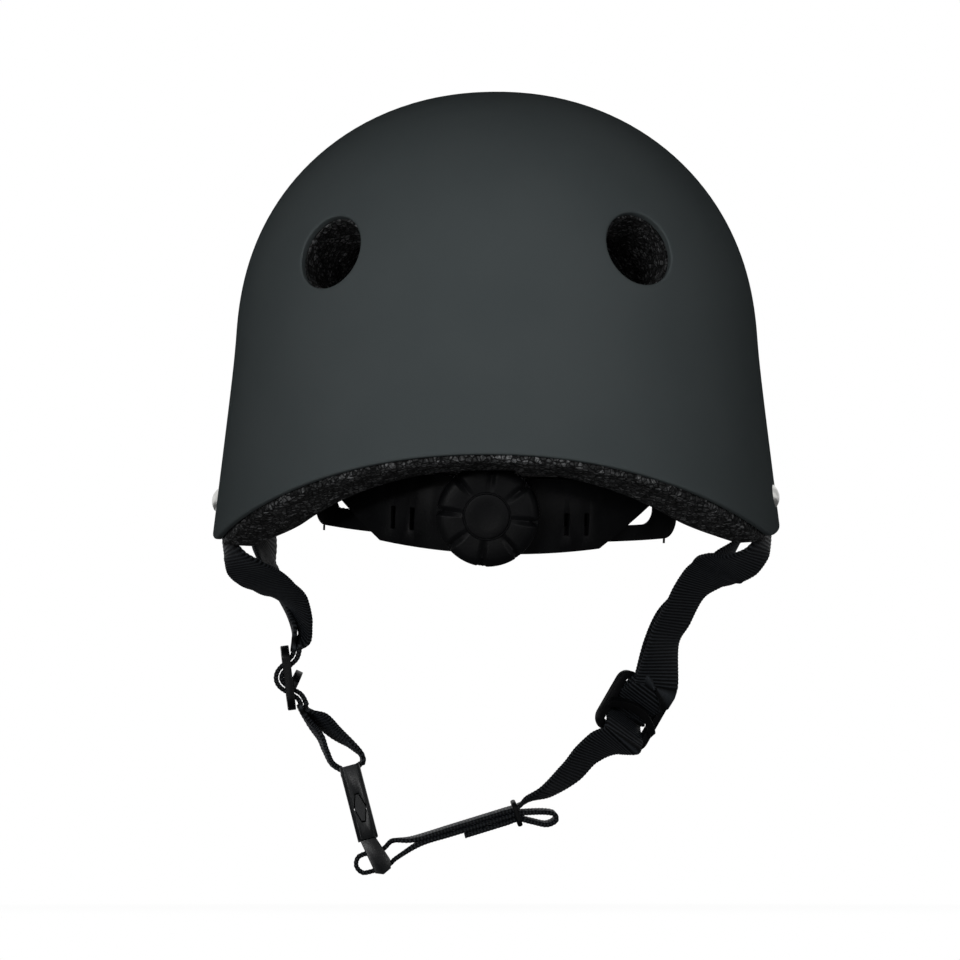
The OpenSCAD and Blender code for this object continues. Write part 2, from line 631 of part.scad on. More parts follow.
// Plug of the buckle: guide tongue, base wedge and the two webbing slots.
module buckle_plug() {
    half = socket_t / 2 - 1;
    color(plastic_black) buckle_frame() {
        difference() {
            rotate([90, 0, 0]) linear_extrude(height = buckle_w - 2, center = true)
                polygon([[half, -0.3], [-half, -0.3], [-half - 3.2, -9.6], [-half - 2.6, -13],
                    [-half + 0.4, -14.4], [half - 2.4, -13.2]]);
            for (z = [-5, -11.6]) {
                translate([0, 0, z]) cube([40, web_w + 1.2, web_t + 1.5], center = true);
            }
        }
        translate([-prong_t / 2 + 1, -3.5, -2]) cube([prong_t - 2, 7, cavity_l - 2]);
        for (side = [-1, 1]) {
            translate([0, side * (buckle_w / 2 - 6.2), -0.4])
                cube([prong_t, 5.2, 2.4], center = true);
        }
    }
}

// Side prong with its release button, hinged at its root; side is -1 front and 1 rear.
module prong(side) {
    root = buckle_w / 2 - 6.2;
    wall = inner_w / 2 - 0.3;
    button = buckle_w / 2 - 0.3;
    color(plastic_black) buckle_frame() {
        rotate([90, 0, 90]) linear_extrude(height = prong_t, center = true)
            polygon([[side * (root - 1.6), 1], [side * (root + 1.2), 1],
                [side * (wall - 1.2), window_z - 5], [side * wall, window_z - 3.4],
                [side * wall, window_z + 3.2], [side * (wall - 1.2), window_z + 4.6],
                [side * (root + 0.4), cavity_l - 1.2], [side * (root - 1.8), cavity_l - 2]]);
        translate([0, side * (root + button) / 2, window_z]) rotate([90, 0, 0])
            linear_extrude(height = button - root, center = true)
                lozenge(window_half_t - prong_gap, window_half_l - 1.2 * prong_gap);
    }
}
module front_prong() prong(-1);
module rear_prong() prong(1);

// Fitting ring frame: +Z is the ring's axis and +Y points at the nape.
RING = [-1.2, 10, 24];
module ring_frame() translate(RING) rotate([0, -ring_roll, 0]) rotate([-ring_tilt, 0, 0]) children();
// Point at an angle from the nape towards +X, a radius and a height in the ring frame.
function ring_point(a, r, z) = RING + swung([r * sin(a), r * cos(a), z], [-ring_tilt, -ring_roll, 0]);
function ring_up() = swung([0, 0, 1], [-ring_tilt, -ring_roll, 0]);

cradle_out = nape_r + cradle_t;
left_in = cradle_out + layer_gap;
left_out = left_in + band_t;
right_in = left_out + layer_gap;
right_out = right_in + band_t;
housing_in = right_out + layer_gap;
housing_out = housing_in + housing_t;
dial_back = housing_out + 1.2;
dial_face = dial_back + dial_depth;

// Part of an upright ring wall between two angles from the nape towards +X.
module arc_wall(r_in, r_out, z_low, z_high, from, to) {
    rotate([0, 0, 90 - to]) rotate_extrude(angle = to - from, $fn = 180)
        translate([r_in, z_low]) square([r_out - r_in, z_high - z_low]);
}

// Pinion and rack teeth with straight-flanked racks.
pressure = 25;
pitch_r = gear_module * pinion_teeth / 2;
addendum = 0.7 * gear_module;
dedendum = 1.15 * gear_module;
tooth_pitch = PI * gear_module;
function involute(base, a) = base * [cos(a) + a * PI / 180 * sin(a), sin(a) - a * PI / 180 * cos(a)];
function turned(p, a) = [p[0] * cos(a) - p[1] * sin(a), p[0] * sin(a) + p[1] * cos(a)];
function mirrored(p) = [p[0], -p[1]];

module pinion_outline() {
    base = pitch_r * cos(pressure);
    tip = pitch_r + addendum;
    root = pitch_r - dedendum;
    roll_pitch = sqrt(pow(pitch_r / base, 2) - 1) * 180 / PI;
    roll_tip = sqrt(pow(tip / base, 2) - 1) * 180 / PI;
    at_pitch = involute(base, roll_pitch);
    half = 90 / pinion_teeth - backlash / 2 / pitch_r * 180 / PI / 2
        + atan2(at_pitch[1], at_pitch[0]);
    flank = [for (k = [0:4]) turned(involute(base, roll_tip * k / 4), -half)];
    side = concat([turned([root, 0], -half)], flank);
    tooth = concat(side, [for (i = [len(side) - 1:-1:0]) mirrored(side[i])]);
    circle(root + 0.02, $fn = 48);
    for (k = [0:pinion_teeth - 1]) {
        rotate(360 * k / pinion_teeth) polygon(concat([[0, 0]], tooth));
    }
}

// Rack tooth that stands up from its root line; pitch line at the origin.
module rack_tooth_outline() {
    half = tooth_pitch / 4 - backlash / 4;
    low = dedendum + 0.4;
    polygon([[-half - low * tan(pressure), -low], [half + low * tan(pressure), -low],
        [half - addendum * tan(pressure), addendum], [-half + addendum * tan(pressure), addendum]]);
}

// Band with a toothed slot; up is -1 for teeth on the lower edge and 1 for the upper edge.
rack_inner = 14;
rack_outer = 77;
slot_inner = 9;
slot_outer = 64.5;
slot_clear = 0.6;
// Rounds of the lower outer corners of a rack and of its slot.
rack_corner_r = 7;
slot_corner_r = 5;
function arc_deg(length, r) = length / r * 180 / PI;
module rack(side, r_in, r_out, up) {
    mid = (r_in + r_out) / 2;
    half_h = band_h / 2;
    toothed = pitch_r + dedendum;
    plain = pitch_r + addendum + slot_clear;
    reach = [arc_deg(rack_inner, mid), arc_deg(rack_outer, mid)];
    hole = [arc_deg(slot_inner, mid), arc_deg(slot_outer, mid)];
    tooth_deg = arc_deg(tooth_pitch, mid);
    hole_low = up < 0 ? -toothed : -plain;
    phase = up < 0 ? 0.5 : 0;
    first = -ceil((slot_inner - 3) / tooth_pitch);
    last = floor((slot_outer - 2) / tooth_pitch);
    color(plastic_black) ring_frame() mirror([side < 0 ? 1 : 0, 0, 0]) {
        difference() {
            arc_wall(r_in, r_out, -half_h, half_h, -reach[0], reach[1]);
            difference() {
                arc_wall(r_in - 1, r_out + 1, hole_low, up < 0 ? plain : toothed, -hole[0], hole[1]);
                outer_corner(mid, hole[1], hole_low, slot_corner_r);
            }
            outer_corner(mid, reach[1], -half_h, rack_corner_r);
        }
        for (k = [first:last]) {
            rotate([0, 0, -(k + phase) * tooth_deg])
                translate([0, r_out - 0.1, up * pitch_r]) rotate([90, 0, 0])
                    linear_extrude(height = r_out - r_in - 0.2)
                        mirror([0, up < 0 ? 0 : 1, 0]) rack_tooth_outline();
        }
    }
}

// What lies outside the round of a lower outer corner on an arc of a ring.
corner_depth = 12;
module outer_corner(r_mid, end, low, r) {
    rotate([0, 0, -end]) translate([-r, r_mid, low + r])
        rotate([90, 0, 0]) linear_extrude(height = corner_depth, center = true) difference() {
            translate([0, -r - 1]) square(r + 1);
            circle(r, $fn = fine);
        }
}
module left_rack() rack(1, left_in, left_out, -1);
module right_rack() rack(-1, right_in, right_out, 1);

// Flexible side band from the rack's end to the temple, in the ring's own frame.
temple_t = 122;
temple_z = 44;
temple_az = 113;
band_lift = rack_corner_r / 2;
// Way of a side band along the liner, as [angle from the nape, height, distance off the liner].
BAND_WAY = [[69, 21.5, 4.5], [75, 27.7, 2.4], [95, 35, 5.4]];
module side_band(side, r_mid) {
    end = arc_deg(rack_outer + 1, r_mid);
    root = [for (a = [end, end + 5]) concat(ring_point(side * a, r_mid, band_lift), ring_up())];
    way = [for (w = BAND_WAY)
        concat(skin_at(side * w[0], w[1], shell_t + liner_t + w[2]), [0, 0.22, 0.97])];
    tip = skin_at(temple_t, temple_z, shell_t + liner_t + touch_gap + bow_gap + band_t / 2);
    flat = [-0.1 * side, 0.04, 0.99];
    temple = [for (s = [1.1, 0, -1])
        concat([side * (tip[0] + 3.1 * s), tip[1] + 7.4 * s, tip[2]], flat)];
    rows = concat(root, way, temple);
    color(plastic_black) difference() {
        webbing(rows, band_h - rack_corner_r, band_t, 3);
        temple_anchor_places() cylinder(h = 30, r = anchor_r + 0.1, center = true, $fn = fine);
    }
}
module left_band() side_band(1, (left_in + left_out) / 2);
module right_band() side_band(-1, (right_in + right_out) / 2);

// Press-in anchors: a round head and a barbed shank in the foam.
anchor_r = 3;
anchor_head_r = 7;
anchor_head_t = 1.6;
anchor_l = 13;
module anchor_pin(over) {
    translate([0, 0, -anchor_head_t - over]) cylinder(h = anchor_head_t, r = anchor_head_r, $fn = fine);
    translate([0, 0, -over - 0.1]) cylinder(h = anchor_l + over, r = anchor_r, $fn = fine);
}
module anchor_hole() {
    translate([0, 0, -4]) cylinder(h = anchor_l + 4.4, r = anchor_r + 0.05, $fn = fine);
}
module temple_anchor_places() {
    for (side = [-1, 1]) {
        translate(skin_at(side * temple_t, temple_z, shell_t + liner_t))
            aim(side * temple_az, 6) children();
    }
}
cradle_anchor_t = 24;
cradle_anchor_z = 72;
module cradle_anchor_places() {
    for (side = [-1, 1]) {
        translate(skin_at(side * cradle_anchor_t, cradle_anchor_z, shell_t + liner_t))
            aim(side * 30, 6) children();
    }
}
module temple_anchors() color(plastic_black) temple_anchor_places() anchor_pin(band_t + bow_gap + 0.9);
module cradle_anchors() color(plastic_black) cradle_anchor_places() anchor_pin(cradle_t + 2 * bow_gap + 0.9);

// Nape cradle: the plate inside the racks, with two arms up to the liner.
cradle_half = 31;
arm_angle = 24.1;
arm_bow = 1.5;
journal_in_r = 2;
journal_out_r = 4.6;
module nape_cradle() {
    color(plastic_black) difference() {
        union() {
            ring_frame() arc_wall(nape_r, cradle_out, -band_h / 2 - 2.6, band_h / 2 + 2.6,
                -cradle_half, cradle_half);
            for (side = [-1, 1]) cradle_arm(side);
        }
        ring_frame() rotate([-90, 0, 0])
            cylinder(h = 2 * nape_r, r = journal_in_r + journal_gap, $fn = fine);
        cradle_anchor_places() cylinder(h = 40, r = anchor_r + 0.1, center = true, $fn = fine);
    }
}
module cradle_arm(side) {
    foot = skin_at(side * cradle_anchor_t, cradle_anchor_z, shell_t + liner_t + 2 * bow_gap + cradle_t / 2);
    low = [0.91, -0.41 * side, 0];
    high = [0.87, -0.5 * side, 0];
    mid_r = nape_r + cradle_t / 2 - bow_gap;
    root = ring_point(side * arm_angle, mid_r, band_h / 2 + 4.5);
    rows = [concat(ring_point(side * arm_angle, mid_r, band_h / 2 - 0.5), low), concat(root, low),
        concat(root + (foot - root) * 0.2 - [0, arm_bow, 0], low),
        concat(root + (foot - root) * 0.55 - [0, arm_bow, 0], low),
        concat(foot + [0.3 * side, 0.5, -10], high), concat(foot, high),
        concat(foot + [-0.4 * side, -0.7, 8], high)];
    webbing(rows, 16, cradle_t, 3);
}

// Dial housing: curved cover with lips that close the racks' channel.
// Half-angle of the cover's lower edge, slant of its ends and half-angle of its upper edge.
housing_half = 27.8;
housing_slant = 55;
housing_reach = 54;
// Block that cuts a slanted end.
end_block = [60, 30, 120];
// Drop of the cover's lower edge at the middle, as the sagitta of an arc across the cover.
housing_sag = 2;
housing_sag_half = 37;
lip_t = 2;
slot_angles = [-24.4, -19.2, 19.2, 24.4];
// Upright slots through the cover: width, height and lower end.
cover_slot_w = 1.8;
cover_slot_h = 8;
cover_slot_low = -7.5;
module dial_housing() {
    lip_low = band_h / 2 + 0.35;
    sag_r = housing_sag_half * housing_sag_half / (2 * housing_sag);
    color(plastic_black) ring_frame() difference() {
        union() {
            intersection() {
                arc_wall(housing_in, housing_out, -lip_low - lip_t - housing_sag, lip_low + lip_t,
                    -housing_reach, housing_reach);
                translate([0, nape_r / 2, sag_r - lip_low - lip_t - housing_sag])
                    rotate([-90, 0, 0]) cylinder(h = 2 * nape_r, r = sag_r, $fn = 2 * fine);
            }
            for (z = [-lip_low - lip_t, lip_low]) {
                arc_wall(cradle_out + 0.02, housing_in + 0.5, z, z + lip_t, -housing_reach, housing_reach);
            }
        }
        rotate([-90, 0, 0]) cylinder(h = 2 * nape_r, r = journal_out_r + journal_gap, $fn = fine);
        for (a = slot_angles) {
            rotate([0, 0, -a]) translate([-cover_slot_w / 2, housing_in - 0.1, cover_slot_low])
                cube([cover_slot_w, housing_t + 2, cover_slot_h]);
        }
        for (side = [-1, 1]) {
            rotate([0, 0, -side * housing_half]) mirror([side < 0 ? 1 : 0, 0, 0])
                translate([0, cradle_out, -lip_low - lip_t]) rotate([0, housing_slant, 0])
                    translate([0, -end_block[1] / 4, -end_block[2] / 3]) cube(end_block);
        }
    }
}

// Pinion with its two journals and the hexagon that drives it from the dial.
hex_r = 3.4;
screw_r = 1.2;
module pinion() {
    color(plastic_black) ring_frame() rotate([-90, 0, 0]) difference() {
        union() {
            translate([0, 0, left_in + 0.05]) linear_extrude(height = right_out - left_in + 0.1)
                rotate(90) pinion_outline();
            translate([0, 0, nape_r - 0.4])
                cylinder(h = cradle_t + layer_gap + 0.6, r = journal_in_r, $fn = fine);
            translate([0, 0, right_out + 0.1])
                cylinder(h = dial_back + 1.2 - right_out, r = journal_out_r, $fn = fine);
            translate([0, 0, dial_back + 1]) cylinder(h = 3.2, r = hex_r, $fn = 6);
        }
        cylinder(h = 2 * nape_r, r = screw_r + journal_gap, $fn = fine);
    }
}

// Dial: lobed knob with a knurled rim and an inner ratchet ring.
dial_lobes = 8;
ratchet_r = 13.6;
ratchet_teeth = 24;
module ratchet_outline() {
    circle(ratchet_r - 0.6, $fn = fine);
    for (k = [0:ratchet_teeth - 1]) {
        rotate(360 * k / ratchet_teeth) translate([ratchet_r - 0.6, 0]) circle(0.6, $fn = 12);
    }
}
module dial_knob() {
    color(plastic_black) ring_frame() rotate([-90, 0, 0]) translate([0, 0, dial_back]) difference() {
        union() {
            cylinder(h = dial_depth - 2, r = dial_r, $fn = 96);
            translate([0, 0, dial_depth - 2.2]) cylinder(h = 2.2, r = dial_r - 1.6, $fn = 96);
        }
        for (k = [0:dial_lobes - 1]) {
            rotate(360 * (k + 0.5) / dial_lobes) translate([dial_r + 0.6, 0, dial_depth - 4])
                rotate([0, 0, 45]) cube([3.6, 3.6, 12], center = true);
        }
        translate([0, 0, -1]) linear_extrude(height = 4.2) ratchet_outline();
        translate([0, 0, 2]) cylinder(h = 4, r = hex_r + 0.02, $fn = 6);
        translate([0, 0, -1]) cylinder(h = 12, r = screw_r + journal_gap, $fn = fine);
    }
}

// Axle screw: its head bears on the cradle, its thread holds the dial.
module axle_screw() {
    color(steel) ring_frame() rotate([-90, 0, 0]) {
        translate([0, 0, nape_r - 2]) cylinder(h = 1.5, r = 3, $fn = fine);
        translate([0, 0, nape_r - 0.6]) cylinder(h = dial_back + 6 - nape_r, r = screw_r, $fn = fine);
    }
}

// Detent spring: ring on the housing with two pawl arms inside the dial.
spring_t = 1;
module detent_spring() {
    color(steel) ring_frame() rotate([-90, 0, 0]) translate([0, 0, dial_back - 0.6]) {
        difference() {
            cylinder(h = spring_t, r = 9.4, $fn = fine);
            translate([0, 0, -1]) cylinder(h = 4, r = 6.4, $fn = fine);
        }
        for (a = [0, 180]) {
            rotate(a) translate([-1.2, 9, 0]) cube([2.4, 3.7, spring_t]);
        }
    }
}

// Two pads on the cradle's inner face, against the nape.
module nape_pads() {
    color(pad_black) ring_frame() for (side = [-1, 1]) {
        arc_wall(nape_r - 4.4, nape_r - touch_gap, -5, 8, side < 0 ? -27 : 6, side < 0 ? -6 : 27);
    }
}

shell();
liner();
crown_pad();
brow_pad();
left_side_pad();
right_side_pad();
pad_fasteners();
strap_rivets();
rivet_washers();
left_strap();
right_front_strap();
right_rear_strap();
left_divider();
right_divider();
strap_keeper();
buckle_socket();
buckle_plug();
front_prong();
rear_prong();
dial_knob();
pinion();
axle_screw();
detent_spring();
dial_housing();
nape_cradle();
left_rack();
right_rack();
left_band();
right_band();
cradle_anchors();
temple_anchors();
nape_pads();
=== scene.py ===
"""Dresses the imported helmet: smooth shell and foam, woven straps, moulded plastic and soft pads.

Lengths in this file are millimetres and angles are degrees, unless a name says otherwise.
+Z is up, the brow faces -Y, the nape faces +Y and +X is the wearer's left.
"""

import logging
import math
from collections.abc import Callable, Sequence
from dataclasses import dataclass, field
from enum import Enum

import bmesh
import bpy
import numpy as np
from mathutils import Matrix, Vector
from mathutils.geometry import delaunay_2d_cdt


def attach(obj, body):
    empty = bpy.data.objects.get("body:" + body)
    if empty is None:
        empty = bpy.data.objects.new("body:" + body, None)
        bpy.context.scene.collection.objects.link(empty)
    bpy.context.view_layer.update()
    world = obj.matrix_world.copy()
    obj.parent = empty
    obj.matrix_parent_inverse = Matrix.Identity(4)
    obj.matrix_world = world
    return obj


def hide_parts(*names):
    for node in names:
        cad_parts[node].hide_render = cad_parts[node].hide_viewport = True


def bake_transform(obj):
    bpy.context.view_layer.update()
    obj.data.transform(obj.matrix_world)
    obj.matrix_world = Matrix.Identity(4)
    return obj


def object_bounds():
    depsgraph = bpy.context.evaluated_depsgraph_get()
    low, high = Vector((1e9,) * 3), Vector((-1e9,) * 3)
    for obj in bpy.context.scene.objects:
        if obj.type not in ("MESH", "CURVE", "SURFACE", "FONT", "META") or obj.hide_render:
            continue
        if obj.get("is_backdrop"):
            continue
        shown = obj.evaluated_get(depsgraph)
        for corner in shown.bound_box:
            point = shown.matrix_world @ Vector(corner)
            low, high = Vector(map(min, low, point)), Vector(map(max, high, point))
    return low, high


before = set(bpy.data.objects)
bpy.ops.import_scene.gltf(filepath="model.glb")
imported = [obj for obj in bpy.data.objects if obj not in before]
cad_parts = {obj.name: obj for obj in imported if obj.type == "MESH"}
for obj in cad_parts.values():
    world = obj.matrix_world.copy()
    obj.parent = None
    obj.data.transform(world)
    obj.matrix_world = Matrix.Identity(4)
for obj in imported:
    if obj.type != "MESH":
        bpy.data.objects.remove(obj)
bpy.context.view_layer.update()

MM = 0.001
LOG = logging.getLogger("helmet")

Array = np.ndarray
Row = Sequence[float]
Place = Callable[[float, float, float], Array]


def vec(*parts: float) -> Array:
    """Makes a vector of numbers."""
    return np.array(parts, dtype=float)


def unit(v: Array) -> Array:
    """Scales a vector to length one."""
    return v / np.linalg.norm(v)


def signed_pow(value: float, power: float) -> float:
    """Raises the size of a number to a power and keeps its sign.

    Args:
        value: any number.
        power: the power of its size.

    Returns:
        The number raised, with its own sign.
    """
    return math.copysign(abs(value) ** power, value)


def smooth_step(low: float, high: float, value: float) -> float:
    """Rises from 0 at low to 1 at high with level ends.

    Args:
        low: where the rise starts.
        high: where the rise ends.
        value: the place along the rise.

    Returns:
        A share from 0 to 1.
    """
    u = min(1.0, max(0.0, (value - low) / (high - low)))
    return u * u * (3 - 2 * u)


@dataclass(frozen=True)
class Frame:
    """Turned frame: an origin and the rotation about X, then Y, then Z."""

    origin: tuple[float, float, float]
    turn: tuple[float, float, float]

    def matrix(self) -> Array:
        """Gives the frame's rotation matrix.

        Returns:
            The 3 by 3 rotation from the frame to the helmet.
        """
        ax, ay, az = (math.radians(a) for a in self.turn)
        rx = np.array([[1, 0, 0], [0, math.cos(ax), -math.sin(ax)], [0, math.sin(ax), math.cos(ax)]])
        ry = np.array([[math.cos(ay), 0, math.sin(ay)], [0, 1, 0], [-math.sin(ay), 0, math.cos(ay)]])
        rz = np.array([[math.cos(az), -math.sin(az), 0], [math.sin(az), math.cos(az), 0], [0, 0, 1]])
        return rz @ ry @ rx

    def at(self, x: float, y: float, z: float) -> Array:
        """Places a point of the frame in the helmet."""
        return vec(*self.origin) + self.matrix() @ vec(x, y, z)

    def row(self, x: float, z: float) -> Row:
        """Gives a strap row at a place along the frame, lying across its Y."""
        return (*self.at(x, 0, z), *(self.matrix() @ vec(0, 1, 0)))


class Body(Enum):
    """Moving bodies of the frame that the pieces ride on."""

    HELMET = "helmet"
    DIAL = "dial"
    LEFT_SLIDER = "left_slider"
    RIGHT_SLIDER = "right_slider"
    PLUG = "plug"
    FRONT_LATCH = "front_latch"
    REAR_LATCH = "rear_latch"
    LEFT_GUIDE = "left_guide"
    RIGHT_GUIDE = "right_guide"
    KEEPER = "keeper"


class Slot(Enum):
    """Material slots that the finishes name."""

    SHELL = "shell"
    FOAM = "foam"
    PAD = "pad"
    WEBBING = "webbing"
    PLASTIC = "plastic"
    RUBBER = "rubber"
    STEEL = "steel"


class Wire:
    """Output socket of a node, with arithmetic that adds the nodes it needs."""

    def __init__(self, graph: "Graph", socket: bpy.types.NodeSocket) -> None:
        """Keeps the socket and the graph that it belongs to."""
        self.graph = graph
        self.socket = socket

    def _join(self, operation: str, left: "Operand", right: "Operand") -> "Wire":
        """Adds a Math node for values, or a Vector Math node for vectors.

        Args:
            operation: the node's operation.
            left: the first wire or number.
            right: the second wire or number.

        Returns:
            The wire of the new node.
        """
        wires = [w for w in (left, right) if isinstance(w, Wire)]
        if all(w.socket.type == "VALUE" for w in wires):
            return self.graph.node("Math", {"operation": operation}, {0: left, 1: right})
        spread = [(w,) * 3 if isinstance(w, (int, float)) else w for w in (left, right)]
        return self.graph.node("VectorMath", {"operation": operation}, dict(enumerate(spread)))

    def __add__(self, other: "Operand") -> "Wire":
        """Adds."""
        return self._join("ADD", self, other)

    __radd__ = __add__

    def __sub__(self, other: "Operand") -> "Wire":
        """Subtracts."""
        return self._join("SUBTRACT", self, other)

    def __rsub__(self, other: "Operand") -> "Wire":
        """Subtracts from a number."""
        return self._join("SUBTRACT", other, self)

    def __mul__(self, other: "Operand") -> "Wire":
        """Multiplies."""
        return self._join("MULTIPLY", self, other)

    __rmul__ = __mul__

    def __truediv__(self, other: "Operand") -> "Wire":
        """Divides."""
        return self._join("DIVIDE", self, other)

    def __pow__(self, power: float) -> "Wire":
        """Raises to a power."""
        return self._join("POWER", self, power)

    def shaped(self, operation: str) -> "Wire":
        """Puts a value through a Math node that takes one input, such as SINE or ABSOLUTE."""
        return self.graph.node("Math", {"operation": operation}, {0: self})

    def steps(self, low: float, high: float, start: float = 0.0, end: float = 1.0) -> "Wire":
        """Maps a value smoothly from low..high to start..end.

        Args:
            low: input where the rise starts.
            high: input where the rise ends.
            start: output at low.
            end: output at high.

        Returns:
            The mapped value.
        """
        return self.graph.node("MapRange", {"interpolation_type": "SMOOTHSTEP"},
                               {"Value": self, "From Min": low, "From Max": high,
                                "To Min": start, "To Max": end})

    def blend(self, first: "Operand", second: "Operand") -> "Wire":
        """Mixes two colours, with this value as the share of the second."""
        return self.graph.node("Mix", {"data_type": "RGBA"}, {0: self, 6: first, 7: second}, 2)


Operand = Wire | float | tuple


class Graph:
    """Nodes of one material or world."""

    def __init__(self, tree: bpy.types.NodeTree) -> None:
        """Takes an empty node tree."""
        self.tree = tree
        tree.nodes.clear()

    def node(self, kind: str, settings: dict | None = None,
             sockets: dict[str | int, Operand] | None = None, output: int | str = 0) -> Wire:
        """Adds one node of any type.

        Args:
            kind: node type, without its ShaderNode prefix.
            settings: properties that are set first; "stops" holds a ramp's places and colours.
            sockets: input sockets by name or index, each with a value or a wire.
            output: the output socket that is returned.

        Returns:
            The wire of the chosen output.
        """
        made = self.tree.nodes.new("ShaderNode" + kind)
        for name, value in (settings or {}).items():
            if name == "stops":
                ramp = made.color_ramp.elements
                for place, colour in value[2:]:
                    ramp.new(place)
                for element, (place, colour) in zip(ramp, sorted(value)):
                    element.position = place
                    element.color = colour
            else:
                setattr(made, name, value)
        for name, value in (sockets or {}).items():
            if isinstance(value, Wire):
                self.tree.links.new(value.socket, made.inputs[name])
            else:
                made.inputs[name].default_value = value
        return Wire(self, made.outputs[output] if made.outputs else None)

    def place(self) -> Wire:
        """Gives the point of the surface in the helmet's own metres."""
        return self.node("TexCoord", output="Object")

    def noise(self, scale: float, detail: float = 2.0, roughness: float = 0.5) -> Wire:
        """Gives cloudy variation, with scale in features for each metre.

        Args:
            scale: features for each metre.
            detail: octaves of the noise.
            roughness: strength of the finer octaves.

        Returns:
            The noise, from 0 to 1.
        """
        return self.node("TexNoise", {}, {"Vector": self.place(), "Scale": scale,
                                          "Detail": detail, "Roughness": roughness})

    def bump(self, height: Wire, depth: float) -> Wire:
        """Turns a height into a normal, with depth in millimetres.

        Args:
            height: the height, from 0 to 1.
            depth: height of 1 in millimetres.

        Returns:
            The bent normal.
        """
        return self.node("Bump", {}, {"Height": height, "Distance": depth * MM, "Strength": 1.0})

    def surface(self, sockets: dict[str | int, Operand]) -> None:
        """Ends the material in one Principled shader."""
        shader = self.node("BsdfPrincipled", {}, sockets)
        self.node("OutputMaterial", {}, {"Surface": shader})


@dataclass(frozen=True)
class Finish:
    """Base of the finishes: a name, and the nodes that dress it."""

    name: str
    slot: Slot

    def sockets(self, graph: Graph) -> dict[str | int, Operand]:
        """Gives the shader's sockets; each finish has its own."""
        raise NotImplementedError

    def material(self) -> bpy.types.Material:
        """Makes the material once, and then gives it again.

        Returns:
            The material of this finish.
        """
        found = bpy.data.materials.get(self.name)
        if found is None:
            found = bpy.data.materials.new(self.name)
            found.use_nodes = True
            graph = Graph(found.node_tree)
            graph.surface(self.sockets(graph))
        return found

    def dress(self, piece: bpy.types.Object) -> None:
        """Puts the finish on every slot of a piece.

        Args:
            piece: the object that takes the finish.
        """
        slots = piece.material_slots
        if not slots:
            piece.data.materials.append(self.material())
        for place in slots:
            place.material = self.material()


@dataclass(frozen=True)
class ShellPaint(Finish):
    """Matte lacquer of the hard shell, with a fine even grain and faint rubbed patches."""

    name: str = "matte_shell"
    slot: Slot = Slot.SHELL
    colour: tuple = (0.053, 0.062, 0.064, 1)
    rubbed: tuple = (0.059, 0.068, 0.07, 1)
    grain_per_m: float = 2600
    patch_per_m: float = 14

    def sockets(self, graph: Graph) -> dict[str | int, Operand]:
        """Mixes two close greys and gives the lacquer its grain.

        Args:
            graph: the material's nodes.

        Returns:
            The shader's sockets by name, each with a value or a wire.
        """
        patches = graph.noise(self.patch_per_m, 3).steps(0.35, 0.7)
        grain = graph.noise(self.grain_per_m, 1)
        return {"Base Color": patches.blend(self.colour, self.rubbed),
                "Roughness": patches * 0.05 + grain * 0.06 + 0.5,
                "Specular IOR Level": 0.0,
                "Normal": graph.bump(grain, 0.03)}


@dataclass(frozen=True)
class BeadFoam(Finish):
    """Moulded bead foam: pressed beads with dark seams and uneven greys."""

    name: str = "bead_foam"
    slot: Slot = Slot.FOAM
    dark: tuple = (0.003, 0.0031, 0.0032, 1)
    light: tuple = (0.2, 0.205, 0.21, 1)
    beads_per_m: float = 560
    specks_per_m: float = 1300

    def sockets(self, graph: Graph) -> dict[str | int, Operand]:
        """Draws the beads as cells of uneven greys, with dark seams and specks.

        Args:
            graph: the material's nodes.

        Returns:
            The shader's sockets by name, each with a value or a wire.
        """
        cells = {"Vector": graph.place(), "Scale": self.beads_per_m}
        seam = graph.node("TexVoronoi", {"feature": "DISTANCE_TO_EDGE"}, cells)
        tone = graph.node("TexVoronoi", {"feature": "F1"}, cells, "Color")
        level = graph.node("SeparateColor", {}, {"Color": tone})
        specks = graph.noise(self.specks_per_m, 3, 0.7).steps(0.42, 0.62)
        pressed = seam.steps(0.0, 0.2)
        shade = pressed * (level ** 2.2 * 0.85 + 0.15) * (specks * 0.75 + 0.25)
        return {"Base Color": shade.blend(self.dark, self.light),
                "Roughness": 0.8,
                "Specular IOR Level": 0.03,
                "Normal": graph.bump(pressed * 0.7 + specks * 0.3, 0.16)}


@dataclass(frozen=True)
class MouldedPlastic(Finish):
    """Injection-moulded black plastic with a satin skin."""

    name: str = "moulded_plastic"
    slot: Slot = Slot.PLASTIC
    colour: tuple = (0.0018, 0.0019, 0.0022, 1)
    worn: tuple = (0.0036, 0.0038, 0.0042, 1)
    roughness: float = 0.38
    gloss: float = 0.05
    texture_depth: float = 0.035
    texture_per_m: float = 1800
    flow_per_m: float = 60

    def sockets(self, graph: Graph) -> dict[str | int, Operand]:
        """Adds flow marks and a fine eroded texture to the black.

        Args:
            graph: the material's nodes.

        Returns:
            The shader's sockets by name, each with a value or a wire.
        """
        flow = graph.noise(self.flow_per_m, 4, 0.6).steps(0.3, 0.75)
        texture = graph.noise(self.texture_per_m, 2)
        return {"Base Color": flow.blend(self.colour, self.worn),
                "Roughness": flow * 0.12 + texture * 0.1 + (self.roughness - 0.08),
                "Specular IOR Level": self.gloss,
                "Normal": graph.bump(texture, self.texture_depth)}


